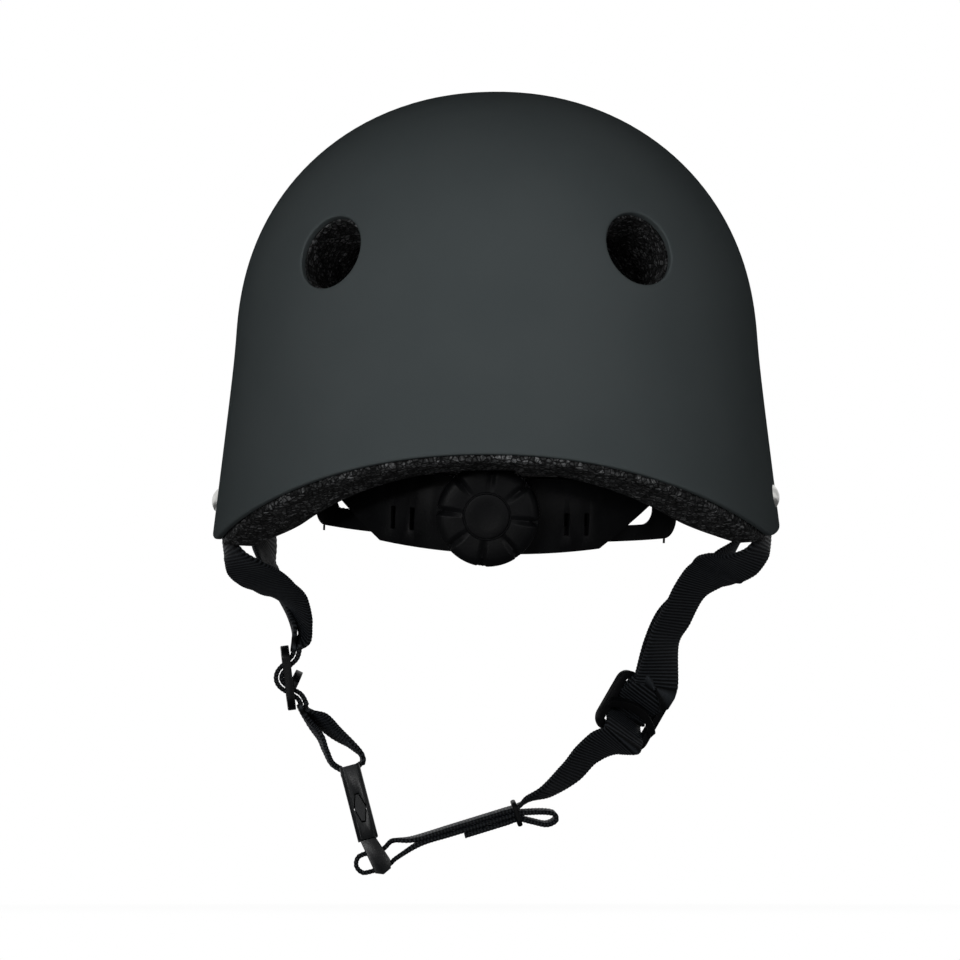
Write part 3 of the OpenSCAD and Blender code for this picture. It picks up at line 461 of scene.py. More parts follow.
@dataclass(frozen=True)
class RibbedWebbing(Finish):
    """Polyester webbing: rounded ribs across it, with yarns that run along it, painted shade in the rib
    grooves and a painted highlight on the rib crests.
    """

    name: str = "ribbed_webbing"
    slot: Slot = Slot.WEBBING
    # The groove colour is painted shade between the ribs, and the crest colour is a painted highlight on
    # them.
    groove: tuple = (0.0006, 0.0007, 0.0008, 1)
    crest_highlight: tuple = (0.027, 0.0305, 0.035, 1)
    rib_pitch: float = 1.3
    yarn_pitch: float = 0.55
    fuzz_per_m: float = 3800
    coordinates: str = "weave"

    def sockets(self, graph: Graph) -> dict[str | int, Operand]:
        """Reads the weave's own millimetres, across and along the strap.

        Args:
            graph: the material's nodes.

        Returns:
            The shader's sockets by name, each with a value or a wire.
        """
        weave = graph.node("UVMap", {"uv_map": self.coordinates})
        across, along = (graph.node("SeparateXYZ", {}, {"Vector": weave}, axis) for axis in (0, 1))
        turn = 2 * math.pi
        rib = (along * (turn / self.rib_pitch)).shaped("COSINE") * 0.5 + 0.5
        offset = (along * (math.pi / self.rib_pitch)).shaped("FLOOR") * 0.5
        yarn = ((across / self.yarn_pitch + offset) * turn).shaped("COSINE") * 0.5 + 0.5
        fuzz = graph.noise(self.fuzz_per_m, 2)
        # The ribs' share runs the colour from painted shade in the grooves to a painted highlight on the
        # crests; the yarns and fuzz vary it as pattern.
        level = rib ** 2.2 * (yarn * 0.4 + 0.6) * (fuzz * 0.7 + 0.5)
        return {"Base Color": level.blend(self.groove, self.crest_highlight),
                "Roughness": 0.62 - rib * 0.16,
                "Specular IOR Level": 0.05,
                "Sheen Weight": 0.03,
                "Sheen Roughness": 0.4,
                "Sheen Tint": (0.55, 0.62, 0.75, 1),
                "Normal": graph.bump(yarn * 0.6 + fuzz * 0.4, 0.09)}


@dataclass(frozen=True)
class KnitPad(Finish):
    """Brushed knit over the pads' foam, with small open meshes."""

    name: str = "knit_pad"
    slot: Slot = Slot.PAD
    dark: tuple = (0.0012, 0.0012, 0.0014, 1)
    light: tuple = (0.012, 0.0125, 0.014, 1)
    loops_per_m: float = 950
    nap_per_m: float = 160

    def sockets(self, graph: Graph) -> dict[str | int, Operand]:
        """Draws loops as small cells under a soft nap.

        Args:
            graph: the material's nodes.

        Returns:
            The shader's sockets by name, each with a value or a wire.
        """
        loops = graph.node("TexVoronoi", {"feature": "F1"},
                           {"Vector": graph.place(), "Scale": self.loops_per_m, "Randomness": 0.35})
        nap = graph.noise(self.nap_per_m, 3)
        level = (1 - loops.steps(0.1, 0.75)) * (nap * 0.6 + 0.6)
        return {"Base Color": level.blend(self.dark, self.light),
                "Roughness": 0.92,
                "Specular IOR Level": 0.1,
                "Sheen Weight": 0.12,
                "Sheen Roughness": 0.5,
                "Normal": graph.bump(1 - loops, 0.22)}


@dataclass(frozen=True)
class SoftRubber(Finish):
    """Dull rubber of the keeper ring."""

    name: str = "soft_rubber"
    slot: Slot = Slot.RUBBER
    colour: tuple = (0.002, 0.0022, 0.0026, 1)
    dusty: tuple = (0.005, 0.0053, 0.0058, 1)
    dust_per_m: float = 500
    grain_per_m: float = 1500

    def sockets(self, graph: Graph) -> dict[str | int, Operand]:
        """Adds a little dust to the rubber.

        Args:
            graph: the material's nodes.

        Returns:
            The shader's sockets by name, each with a value or a wire.
        """
        dust = graph.noise(self.dust_per_m, 3).steps(0.45, 0.75)
        return {"Base Color": dust.blend(self.colour, self.dusty),
                "Roughness": dust * 0.15 + 0.55,
                "Specular IOR Level": 0.05,
                "Normal": graph.bump(graph.noise(self.grain_per_m), 0.03)}


@dataclass(frozen=True)
class PlatedSteel(Finish):
    """Nickel-plated steel of the rivets, screw and spring."""

    name: str = "plated_steel"
    slot: Slot = Slot.STEEL
    colour: tuple = (0.62, 0.62, 0.6, 1)
    dull: tuple = (0.4, 0.4, 0.39, 1)
    patch_per_m: float = 350
    scratch_per_m: float = 4000

    def sockets(self, graph: Graph) -> dict[str | int, Operand]:
        """Dulls the plating in patches with fine scratches.

        Args:
            graph: the material's nodes.

        Returns:
            The shader's sockets by name, each with a value or a wire.
        """
        patches = graph.noise(self.patch_per_m, 4).steps(0.3, 0.7)
        scratches = graph.noise(self.scratch_per_m, 2, 0.7)
        return {"Base Color": patches.blend(self.dull, self.colour),
                "Metallic": 1.0,
                "Roughness": 0.34 - patches * 0.1 + scratches * 0.08,
                "Normal": graph.bump(scratches, 0.01)}


@dataclass
class Draft:
    """Points and faces that grow into one closed mesh."""

    points: list[Array] = field(default_factory=list)
    faces: list[Sequence[int]] = field(default_factory=list)
    weave: list[tuple[float, float]] = field(default_factory=list)

    def add(self, points: Sequence[Array]) -> list[int]:
        """Adds points and returns their numbers.

        Args:
            points: the new points.

        Returns:
            Their numbers in the draft.
        """
        first = len(self.points)
        self.points.extend(points)
        return list(range(first, len(self.points)))

    def strip(self, one: Sequence[int], two: Sequence[int]) -> None:
        """Joins two rings of equally many points with quads.

        Args:
            one: numbers of the first ring.
            two: numbers of the second ring.
        """
        count = len(one)
        for i in range(count):
            j = (i + 1) % count
            self.faces.append((one[i], one[j], two[j], two[i]))

    def fan(self, ring: Sequence[int], centre: int) -> None:
        """Closes a ring of points with triangles to one point.

        Args:
            ring: numbers of the ring's points.
            centre: number of the middle point.
        """
        for i, a in enumerate(ring):
            self.faces.append((a, ring[(i + 1) % len(ring)], centre))

    def piece(self, name: str, finish: Finish, crease: float = 40) -> bpy.types.Object:
        """Makes the mesh object, with even normals and one finish.

        Args:
            name: the piece's name.
            finish: the finish of all its faces.
            crease: edges that turn by more degrees than this stay sharp.

        Returns:
            The new object.
        """
        mesh = bpy.data.meshes.new(name)
        mesh.from_pydata([tuple(p * MM) for p in self.points], [], self.faces)
        if self.weave:
            layer = mesh.uv_layers.new(name=RibbedWebbing.coordinates)
            for loop in mesh.loops:
                layer.data[loop.index].uv = self.weave[loop.vertex_index]
        return finished(mesh, name, finish, crease)


def finished(mesh: bpy.types.Mesh, name: str, finish: Finish, crease: float) -> bpy.types.Object:
    """Turns a mesh's faces outward, smooths them and makes its object.

    Args:
        mesh: the mesh, changed in place.
        name: the piece's name.
        finish: the finish of all its faces.
        crease: edges that turn by more degrees than this stay sharp.

    Returns:
        The new object.
    """
    work = bmesh.new()
    work.from_mesh(mesh)
    bmesh.ops.recalc_face_normals(work, faces=work.faces)
    work.to_mesh(mesh)
    work.free()
    mesh.polygons.foreach_set("use_smooth", [True] * len(mesh.polygons))
    mesh.set_sharp_from_angle(angle=math.radians(crease))
    piece = bpy.data.objects.new(name, mesh)
    bpy.context.scene.collection.objects.link(piece)
    finish.dress(piece)
    return piece


def ride(piece: bpy.types.Object, body: Body, *nodes: str) -> bpy.types.Object:
    """Sets a piece on a body in place of CAD nodes, and reports it.

    Args:
        piece: the piece.
        body: the body that carries it.
        nodes: CAD nodes that it stands for.

    Returns:
        The same piece.
    """
    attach(piece, body.value)
    if nodes:
        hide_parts(*nodes)
    LOG.info("%s: %d faces on %s", piece.name, len(piece.data.polygons), body.value)
    return piece


def apply_modifiers(piece: bpy.types.Object) -> None:
    """Replaces a piece's mesh with the result of its modifiers.

    Args:
        piece: the piece, changed in place.
    """
    graph = bpy.context.evaluated_depsgraph_get()
    mesh = bpy.data.meshes.new_from_object(piece.evaluated_get(graph))
    piece.modifiers.clear()
    piece.data = mesh


@dataclass(frozen=True)
class Dome:
    """Family of skins that the shell, the foam and the pads follow."""

    half_w: float = 99
    half_l: float = 137
    rise: float = 94.5
    wall_h: float = 81
    flare: float = 0.105
    nape_rise: float = 16
    brow_rise: float = 54
    dip_angle: float = 68
    ear_power: float = 1.15
    nape_power: float = 1.5
    dome_power: float = 2.05
    plan_power: float = 2.1
    egg: float = 0.03
    shoulder: float = 8
    dome_part: float = 0.68

    def rim_z(self, t: float) -> float:
        """Height of the shell's rim at an angle from the nape.

        Args:
            t: angle from the nape.

        Returns:
            The rim's height.
        """
        u = abs((t + 180) % 360 - 180)
        if u < self.dip_angle:
            return self.nape_rise * math.cos(math.radians(90 * u / self.dip_angle)) ** self.nape_power
        swing = 90 * (u - self.dip_angle) / (180 - self.dip_angle)
        return self.brow_rise * math.sin(math.radians(swing)) ** self.ear_power

    def radii(self, z: float, inset: float) -> tuple[float, float]:
        """Half-width and half-length of a skin at a height.

        Args:
            z: height.
            inset: how far the skin lies inside the outer one.

        Returns:
            The half-width and the half-length.
        """
        climb = max(0.0, (z - self.wall_h) / (self.rise - inset))
        share = max(0.0, 1 - climb ** self.dome_power) ** (1 / self.dome_power)
        fall = self.shoulder * math.log1p(math.exp((self.wall_h - z) / self.shoulder))
        spread = fall * self.flare
        return (self.half_w - inset) * share + spread, (self.half_l - inset) * share + spread

    def at(self, t: float, z: float, inset: float) -> Array:
        """Point of a skin at an angle from the nape towards +X, and at a height.

        Args:
            t: angle from the nape towards +X.
            z: height.
            inset: how far the skin lies inside the outer one.

        Returns:
            The point.
        """
        wide, long = self.radii(z, inset)
        power = 2 / self.plan_power
        y = long * signed_pow(math.cos(math.radians(t)), power)
        x = wide * signed_pow(math.sin(math.radians(t)), power)
        return vec(x * (1 + self.egg * y / self.half_l), y, z)

    def excess(self, p: Array, inset: float) -> float:
        """Tells how far a point lies outside a skin, as a share of its plan.

        Args:
            p: any point.
            inset: how far the skin lies inside the outer one.

        Returns:
            A share above 0 outside the skin, and below 0 inside it.
        """
        if p[2] >= self.wall_h + self.rise - inset:
            return 1.0
        wide, long = self.radii(p[2], inset)
        x = p[0] / (1 + self.egg * p[1] / self.half_l)
        plan = (abs(x) / wide) ** self.plan_power + (abs(p[1]) / long) ** self.plan_power
        return plan - 1

    def hit(self, start: Array, way: Array, inset: float, reach: float = 60) -> Array:
        """Point where a line through start meets a skin, found by halving.

        Args:
            start: a point of the line.
            way: the line's direction, out of the dome.
            inset: how far the skin lies inside the outer one.
            reach: how far from start the skin may be.

        Returns:
            The point on the skin.
        """
        low, high = -reach, reach
        for _ in range(40):
            mid = (low + high) / 2
            if self.excess(start + way * mid, inset) > 0:
                high = mid
            else:
                low = mid
        return start + way * low

    def height(self, t: float, k: float, inset: float, drop: float) -> float:
        """Height at a share of the way from the pole, 0, to the rim, 1.

        Args:
            t: angle from the nape.
            k: share of the way from the pole to the rim.
            inset: how far the skin lies inside the outer one.
            drop: how far the skin ends below the shell's rim.

        Returns:
            The height.
        """
        if k <= self.dome_part:
            return self.wall_h + (self.rise - inset) * math.cos(math.pi / 2 * k / self.dome_part)
        share = (k - self.dome_part) / (1 - self.dome_part)
        return self.wall_h + (self.rim_z(t) - drop - self.wall_h) * share

    def unroll(self, p: Array, inset: float, drop: float) -> tuple[float, float]:
        """Flat place of a skin point: the pole at the origin and the rim on the unit circle.

        Args:
            p: a point of the skin.
            inset: how far the skin lies inside the outer one.
            drop: how far the skin ends below the shell's rim.

        Returns:
            The flat place.
        """
        wide, long = self.radii(p[2], inset)
        x = p[0] / (1 + self.egg * p[1] / self.half_l)
        t = math.atan2(signed_pow(x / wide, self.plan_power / 2),
                       signed_pow(p[1] / long, self.plan_power / 2))
        if p[2] >= self.wall_h:
            climb = min(1.0, (p[2] - self.wall_h) / (self.rise - inset))
            k = self.dome_part * math.acos(climb) * 2 / math.pi
        else:
            floor = self.rim_z(math.degrees(t)) - drop
            k = self.dome_part + (1 - self.dome_part) * (self.wall_h - p[2]) / (self.wall_h - floor)
        return k * math.sin(t), k * math.cos(t)

    def under(self, x: float, y: float, inset: float) -> Array:
        """Point of a skin's dome above a place of the plan.

        Args:
            x: place across the helmet.
            y: place along the helmet.
            inset: how far the skin lies inside the outer one.

        Returns:
            The point of the dome.
        """
        wide = abs(x) / (1 + self.egg * y / self.half_l) / (self.half_w - inset)
        long = abs(y) / (self.half_l - inset)
        share = (wide ** self.plan_power + long ** self.plan_power) ** (1 / self.plan_power)
        lift = (1 - share ** self.dome_power) ** (1 / self.dome_power)
        return vec(x, y, self.wall_h + (self.rise - inset) * lift)


DOME = Dome()


@dataclass(frozen=True)
class Bore:
    """Straight round bore through the dome, such as a vent or a rivet's hole."""

    t: float
    z: float
    azimuth: float
    elevation: float

    def way(self) -> Array:
        """Direction out of the dome along the bore.

        Returns:
            The direction, of length one.
        """
        a, e = math.radians(self.azimuth), math.radians(self.elevation)
        return vec(math.sin(a) * math.cos(e), math.cos(a) * math.cos(e), math.sin(e))

    def axes(self) -> tuple[Array, Array]:
        """Two directions square to the bore: one level, one upward."""
        level = unit(np.cross(vec(0, 0, 1), self.way()))
        return level, np.cross(self.way(), level)

    def centre(self) -> Array:
        """Place of the bore on the outer skin."""
        return DOME.at(self.t, self.z, 0)

    def ring(self, radius: float, inset: float, steps: int) -> list[Array]:
        """Ring of points at a radius round the bore, on a skin.

        Args:
            radius: the ring's radius.
            inset: how far the skin lies inside the outer one.
            steps: how many points the ring has.

        Returns:
            The ring's points.
        """
        level, up = self.axes()
        angles = [2 * math.pi * k / steps for k in range(steps)]
        spots = [self.centre() + radius * (math.cos(a) * level + math.sin(a) * up) for a in angles]
        return [DOME.hit(spot, self.way(), inset) for spot in spots]

    def off_axis(self, p: Array) -> float:
        """Distance of a point from the bore's line, or far away behind the dome.

        Args:
            p: any point.

        Returns:
            Its distance from the bore's line.
        """
        gap = p - self.centre()
        if gap @ self.way() < -DOME.half_w / 2:
            return DOME.half_l
        return float(np.linalg.norm(gap - self.way() * (gap @ self.way())))


def both_sides(*places: Row) -> list[Bore]:
    """Makes each bore on the wearer's left and right.

    Args:
        places: angle, height, azimuth and elevation of each left bore.

    Returns:
        The bores of both sides.
    """
    return [Bore(side * t, z, side * azimuth, lean) for t, z, azimuth, lean in places for side in (-1, 1)]


VENTS = both_sides((31, 92, 17, 3), (90, 150, 90, 48), (132, 150, 123, 52), (146, 106, 141, 14))
REAR_RIVET = (75, 17, 78, 6)
FRONT_RIVET = (106, 37, 102, 6)
RIVETS = both_sides(REAR_RIVET, FRONT_RIVET)


@dataclass
class VentedSkin:
    """One skin of the dome with its vents left out, as triangles."""

    inset: float
    drop: float
    vent_r: float
    columns: int = 360
    rings: int = 66
    ring_steps: int = 72
    fewest_columns: int = 12
    halo: Sequence[float] = (0.9, 2.2, 4.0)
    halo_gap: float = 1.2
    pole_gap: float = 1e-6
    weld: float = 1e-9
    sink: Callable[[Array], float] = lambda p: 0.0
    loops: list[list[int]] = field(default_factory=list)
    rim: list[int] = field(default_factory=list)

    def build(self, draft: Draft) -> None:
        """Adds the skin to a draft and keeps the numbers of its rim and vent loops.

        Args:
            draft: the draft that takes the skin.
        """
        flat: list[tuple[float, float]] = []
        solid: list[Array] = []
        edges: list[tuple[int, int]] = []

        def keep(p: Array) -> int:
            """Keeps a point with its flat place, and gives its number."""
            flat.append(DOME.unroll(p, self.inset, self.drop))
            solid.append(p)
            return len(flat) - 1

        def close(ring: list[int]) -> list[int]:
            """Joins a ring's points with edges that the triangles keep."""
            edges.extend((a, ring[(i + 1) % len(ring)]) for i, a in enumerate(ring))
            return ring

        angles = [360 * i / self.columns for i in range(self.columns)]
        rim = close([keep(DOME.at(t, DOME.rim_z(t) - self.drop, self.inset)) for t in angles])
        loops = []
        for vent in VENTS:
            loops.append(close([keep(p) for p in vent.ring(self.vent_r, self.inset, self.ring_steps)]))
            for step in self.halo:
                for p in vent.ring(self.vent_r + step, self.inset, self.ring_steps):
                    keep(p)
        clear = self.vent_r + self.halo[-1] + self.halo_gap
        keep(DOME.at(0, DOME.wall_h + DOME.rise - self.inset - self.pole_gap, self.inset))
        for j in range(1, self.rings):
            k = j / self.rings
            count = max(self.fewest_columns, round(self.columns * k))
            for i in range(count):
                t = 360 * (i + 0.5 * (j % 2)) / count
                p = DOME.at(t, DOME.height(t, k, self.inset, self.drop), self.inset)
                if all(vent.off_axis(p) > clear for vent in VENTS):
                    keep(p)
        places = [Vector(p) for p in flat]
        _, _, faces, origins, _, _ = delaunay_2d_cdt(places, edges, [], 0, self.weld, True)
        number = {i: o[0] for i, o in enumerate(origins) if o}
        holes = [set(loop) for loop in loops]
        placed = draft.add([self.sunk(p) for p in solid])
        for face in faces:
            ids = {number[i] for i in face}
            if not any(ids <= hole for hole in holes):
                draft.faces.append([placed[number[i]] for i in face])
        self.rim = [placed[i] for i in rim]
        self.loops = [[placed[i] for i in loop] for loop in loops]

    def sunk(self, p: Array) -> Array:
        """Moves a point in or out of the dome, where the skin has a pocket or a thin edge.

        Args:
            p: a point of the even skin.

        Returns:
            The moved point.
        """
        depth = self.sink(p)
        if depth == 0:
            return p
        centre = vec(0, 0, p[2])
        return p + unit(centre - p) * depth


@dataclass
class HardShell:
    """Hard outer shell with rounded vents and a rounded rim."""

    thickness: float = 3
    vent_r: float = 13.2
    vent_round: float = 0.9
    rim_round: float = 0.9
    round_steps: int = 4

    def build(self) -> None:
        """Joins the outer and inner skins along the rim and through the vents."""
        draft = Draft()
        outer = VentedSkin(0, -self.rim_round, self.vent_r + self.vent_round)
        inner = VentedSkin(self.thickness, -self.rim_round, self.vent_r)
        outer.build(draft)
        inner.build(draft)
        self.close_rim(draft, outer, inner)
        for k, vent in enumerate(VENTS):
            self.close_vent(draft, vent, outer.loops[k], inner.loops[k], outer.ring_steps)
        piece = draft.piece("shell_outer", ShellPaint(), crease=55)
        ride(piece, Body.HELMET, "shell")

    def close_rim(self, draft: Draft, outer: VentedSkin, inner: VentedSkin) -> None:
        """Rolls the rim round from the outer skin to the inner one.

        Args:
            draft: the draft of the shell.
            outer: the shell's outer skin.
            inner: the shell's inner skin.
        """
        r, t3 = self.rim_round, self.thickness
        profile = []
        for k in range(1, self.round_steps + 1):
            a = math.pi / 2 * k / self.round_steps
            profile.append((r * (1 - math.cos(a)), r * (1 - math.sin(a))))
        for k in range(self.round_steps):
            a = math.pi / 2 * (1 - k / self.round_steps)
            profile.append((t3 - r * (1 - math.cos(a)), r * (1 - math.sin(a))))
        angles = [360 * i / outer.columns for i in range(outer.columns)]
        last = outer.rim
        for inset, lift in profile:
            row = draft.add([DOME.at(t, DOME.rim_z(t) + lift, inset) for t in angles])
            draft.strip(last, row)
            last = row
        draft.strip(last, inner.rim)

    def close_vent(self, draft: Draft, vent: Bore, outer: list[int], inner: list[int], steps: int) -> None:
        """Rounds a vent's edge and runs its wall down to the inner skin.

        Args:
            draft: the draft of the shell.
            vent: the vent.
            outer: numbers of its loop on the outer skin.
            inner: numbers of its loop on the inner skin.
            steps: points of each loop.
        """
        last = outer
        for k in range(1, self.round_steps + 1):
            a = math.pi / 2 * k / self.round_steps
            radius = self.vent_r + self.vent_round * (1 - math.sin(a))
            sunk = self.vent_round * (1 - math.cos(a))
            ring = [p - vent.way() * sunk for p in vent.ring(radius, 0, steps)]
            row = draft.add(ring)
            draft.strip(last, row)
            last = row
        draft.strip(last, inner)


@dataclass
class FoamLiner:
    """Moulded foam liner: thick dome, broad lower edge, vents and strap pockets."""

    outer_inset: float = 3.3
    inner_inset: float = 25
    drop: float = 2
    vent_r: float = 12.4
    pocket_half_w: float = 12
    pocket_rise: float = 9
    pocket_floor: float = 10
    pocket_side: tuple[float, float] = (1.2, 0.8)
    pocket_top: float = 1
    edge_round: float = 1.2
    edge_rows: int = 6
    edge_thin: float = 0.2
    lip_round: float = 2.6
    bore_rows: int = 7
    ear_angles: tuple[float, float, float, float] = (48, 72, 128, 150)
    ear_thin: float = 11
    ear_rise: float = 20

    def pocket(self, p: Array) -> float:
        """Depth of the strap pockets at a point of the outer skin.

        Args:
            p: a point of the outer skin.

        Returns:
            The depth there, 0 away from the straps.
        """
        deepest = 0.0
        for rivet in RIVETS:
            level, up = rivet.axes()
            gap = p - rivet.centre()
            if gap @ rivet.way() < -DOME.half_w / 2:
                continue
            inside, outside = self.pocket_side
            side = 1 - smooth_step(self.pocket_half_w - inside, self.pocket_half_w + outside,
                                   abs(gap @ level))
            top = 1 - smooth_step(self.pocket_rise - self.pocket_top, self.pocket_rise + self.pocket_top,
                                  gap @ up)
            deepest = max(deepest, side * top)
        return deepest * (self.pocket_floor - self.outer_inset)

    def bevel(self, p: Array) -> float:
        """Depth, below 0, by which the inner skin thins towards the edge over the ears.

        Args:
            p: a point of the inner skin.

        Returns:
            The depth there, 0 away from the ears.
        """
        t = math.degrees(math.atan2(abs(p[0]) / DOME.half_w, p[1] / DOME.half_l))
        first, full, last, end = self.ear_angles
        share = smooth_step(first, full, t) * (1 - smooth_step(last, end, t))
        height = p[2] - DOME.rim_z(t) + self.drop
        return -self.ear_thin * share * (1 - smooth_step(0, self.ear_rise, height))

    def build(self) -> None:
        """Joins the two skins along the lower edge and through the vents."""
        draft = Draft()
        outer = VentedSkin(self.outer_inset, self.drop - self.edge_round, self.vent_r, sink=self.pocket)
        inner = VentedSkin(self.inner_inset, self.drop - self.lip_round, self.vent_r, sink=self.bevel)
        outer.build(draft)
        inner.build(draft)
        self.close_edge(draft, outer, inner)
        for k, vent in enumerate(VENTS):
            last = outer.loops[k]
            for row in range(1, self.bore_rows):
                inset = self.outer_inset + (self.inner_inset - self.outer_inset) * row / self.bore_rows
                ring = draft.add(vent.ring(self.vent_r, inset, outer.ring_steps))
                draft.strip(last, ring)
                last = ring
            draft.strip(last, inner.loops[k])
        piece = draft.piece("foam_liner", BeadFoam(), crease=50)
        ride(piece, Body.HELMET, "liner")

    def close_edge(self, draft: Draft, outer: VentedSkin, inner: VentedSkin) -> None:
        """Runs the broad lower edge inward, round at both sides.

        Args:
            draft: the draft of the liner.
            outer: the liner's outer skin.
            inner: the liner's inner skin.
        """
        low = self.edge_round
        lip = self.lip_round
        profile = [(low * 0.3, low * 0.3), (low, 0.0)]
        width = self.inner_inset - self.outer_inset
        profile += [(width * k / self.edge_rows, 0.0) for k in range(1, self.edge_rows)]
        profile += [(width - lip * (1 - math.sin(a)), lip * (1 - math.cos(a)))
                    for a in (0.2 * math.pi, 0.35 * math.pi)]
        last = outer.rim
        for inset, lift in profile:
            row = []
            for i in range(outer.columns):
                t = 360 * i / outer.columns
                z = DOME.rim_z(t) - self.drop + lift
                skin = DOME.at(t, z, self.outer_inset)
                reach = inset * (1 + self.bevel(DOME.at(t, z, self.inner_inset)) / width)
                pocket = self.pocket(skin) + reach * self.edge_thin
                row.append(DOME.at(t, z, self.outer_inset + max(reach, pocket)))
            ids = draft.add(row)
            draft.strip(last, ids)
            last = ids
        draft.strip(last, inner.rim)


def curve_row(a: Array, b: Array, c: Array, d: Array, u: float) -> Array:
    """Point of a smooth curve between b and c.

    Args:
        a: the row before the stretch.
        b: its first row.
        c: its last row.
        d: the row after it.
        u: share of the way from b to c.

    Returns:
        The row at that share.
    """
    return 0.5 * (2 * b + (c - a) * u + (2 * a - 5 * b + 4 * c - d) * u * u
                  + (3 * b - a - 3 * c + d) * u * u * u)


@dataclass
class Webbing:
    """Ribbed webbing along rows of a point and a width direction."""

    rows: list[Row]
    width: float = 20
    core_t: float = 1.55
    rib_h: float = 0.15
    rib_pitch: float = RibbedWebbing.rib_pitch
    rib_power: float = 0.8
    scallop: float = 0.12
    samples_per_rib: int = 4
    span_steps: int = 28
    bulge: Sequence[tuple[float, float]] = (
        (-1.0, 0.0), (-0.985, 0.62), (-0.94, 0.95), (-0.5, 1.0), (0.0, 1.0), (0.5, 1.0), (0.94, 0.95),
        (0.985, 0.62), (1.0, 0.0), (0.985, -0.62), (0.94, -0.95), (0.5, -1.0), (0.0, -1.0), (-0.5, -1.0),
        (-0.94, -0.95), (-0.985, -0.62))
    path: Array | None = None
    lies: Array | None = None
    reach: Array | None = None
    marks: list[float] = field(default_factory=list)

    def __post_init__(self) -> None:
        """Walks the curve at even steps and notes where each row lies along it."""
        rows = [np.array(row, dtype=float) for row in self.rows]
        count = len(rows)
        fine = []
        for i in range(count - 1):
            near = (rows[max(i - 1, 0)], rows[i], rows[i + 1], rows[min(i + 2, count - 1)])
            fine += [curve_row(*near, k / self.span_steps) for k in range(self.span_steps)]
        fine.append(rows[-1])
        track = np.array(fine)
        gaps = np.linalg.norm(np.diff(track[:, :3], axis=0), axis=1)
        length = np.concatenate([[0], np.cumsum(gaps)])
        self.marks = [float(length[i * self.span_steps]) for i in range(count)]
        steps = round(length[-1] / self.rib_pitch * self.samples_per_rib)
        self.reach = np.linspace(0, length[-1], steps + 1)
        walked = np.stack([np.interp(self.reach, length, track[:, c]) for c in range(6)], axis=1)
        self.path = walked[:, :3]
        self.lies = walked[:, 3:]

    def section(self, i: int) -> tuple[list[Array], list[tuple[float, float]]]:
        """Points and weave coordinates of the section at one step.

        Args:
            i: the step's number.

        Returns:
            The section's points, and their weave coordinates.
        """
        ahead = self.path[min(i + 2, len(self.path) - 1)] - self.path[max(i - 2, 0)]
        along = unit(ahead)
        lie = unit(self.lies[i] - along * (self.lies[i] @ along))
        up = np.cross(along, lie)
        swell = 0.5 + 0.5 * math.cos(2 * math.pi * self.reach[i] / self.rib_pitch)
        half_t = self.core_t / 2 + self.rib_h * swell ** self.rib_power
        half_w = self.width / 2 - self.scallop * (1 - swell)
        points = [self.path[i] + lie * u * half_w + up * v * half_t for u, v in self.bulge]
        return points, [(u * self.width / 2, self.reach[i]) for u, _ in self.bulge]

    def piece(self, name: str, first: int = 0, last: int = -1) -> bpy.types.Object:
        """Makes the stretch between two rows as one closed piece.

        Args:
            name: the piece's name.
            first: number of its first row.
            last: number of its last row.

        Returns:
            The piece, with its flat length in metres.
        """
        start, end = self.marks[first], self.marks[last]
        chosen = [i for i, s in enumerate(self.reach) if start - 1e-6 <= s <= end + self.rib_pitch / 3]
        draft = Draft()
        rings = []
        for i in chosen:
            points, weave = self.section(i)
            rings.append(draft.add(points))
            draft.weave += weave
        for one, two in zip(rings, rings[1:]):
            draft.strip(one, two)
        draft.faces.append(tuple(rings[0]))
        draft.faces.append(tuple(reversed(rings[-1])))
        made = draft.piece(name, RibbedWebbing(), crease=80)
        made["flat_length"] = (end - start) * MM
        return made


@dataclass(frozen=True)
class Divider:
    """Frame of a strap divider and the weave of the webbing through it."""

    middle: tuple[float, float, float]
    runs: tuple[float, float, float]
    faces: tuple[float, float, float]
    weave_h: float = 4.6
    weave_dip: float = 3.6
    pitch: float = 10.5
    layer: float = 2.1
    stops: Sequence[float] = (-12.5, -10.5, -7.6, -5.25, -2.6, 0, 2.6, 5.25, 7.6, 10.5, 12.5)

    def down(self) -> Array:
        """Direction of the webbing's run, downward."""
        return unit(vec(*self.runs))

    def out(self) -> Array:
        """Direction out of the divider's outward face."""
        return unit(vec(*self.faces) - self.down() * (vec(*self.faces) @ self.down()))

    def across(self) -> Array:
        """Direction across the webbing, towards the nape.

        Returns:
            The direction, of length one.
        """
        side = np.cross(self.down(), self.out())
        return side if side[1] > 0 else -side

    def lift(self, s: float) -> float:
        """Height of the weave's middle line at a distance down the divider.

        Args:
            s: distance down the divider from its middle.

        Returns:
            The height over its middle.
        """
        wave = signed_pow(math.cos(math.pi * min(1, abs(s) / self.pitch)), 0.8)
        return (self.weave_h - self.weave_dip) / 2 - (self.weave_h + self.weave_dip) / 2 * wave

    def at(self, s: float, n: float = 0.0) -> Array:
        """Point at a distance down the divider and a height over it."""
        return vec(*self.middle) + self.down() * s + self.out() * n

    def weave(self, side: int, last: float = 13) -> list[Row]:
        """Rows of one layer of webbing; side is -1 for the inner layer and 1 for the outer.

        Args:
            side: -1 for the inner layer and 1 for the outer.
            last: the layer ends before this distance down.

        Returns:
            The rows, downward.
        """
        rows = []
        for s in self.stops:
            if s < last:
                slope = (self.lift(s + 0.1) - self.lift(s - 0.1)) / 0.2
                q = unit(vec(-slope, 1)) * side * self.layer / 2
                rows.append((*self.at(s + q[0], self.lift(s) + q[1]), *self.across()))
        return rows


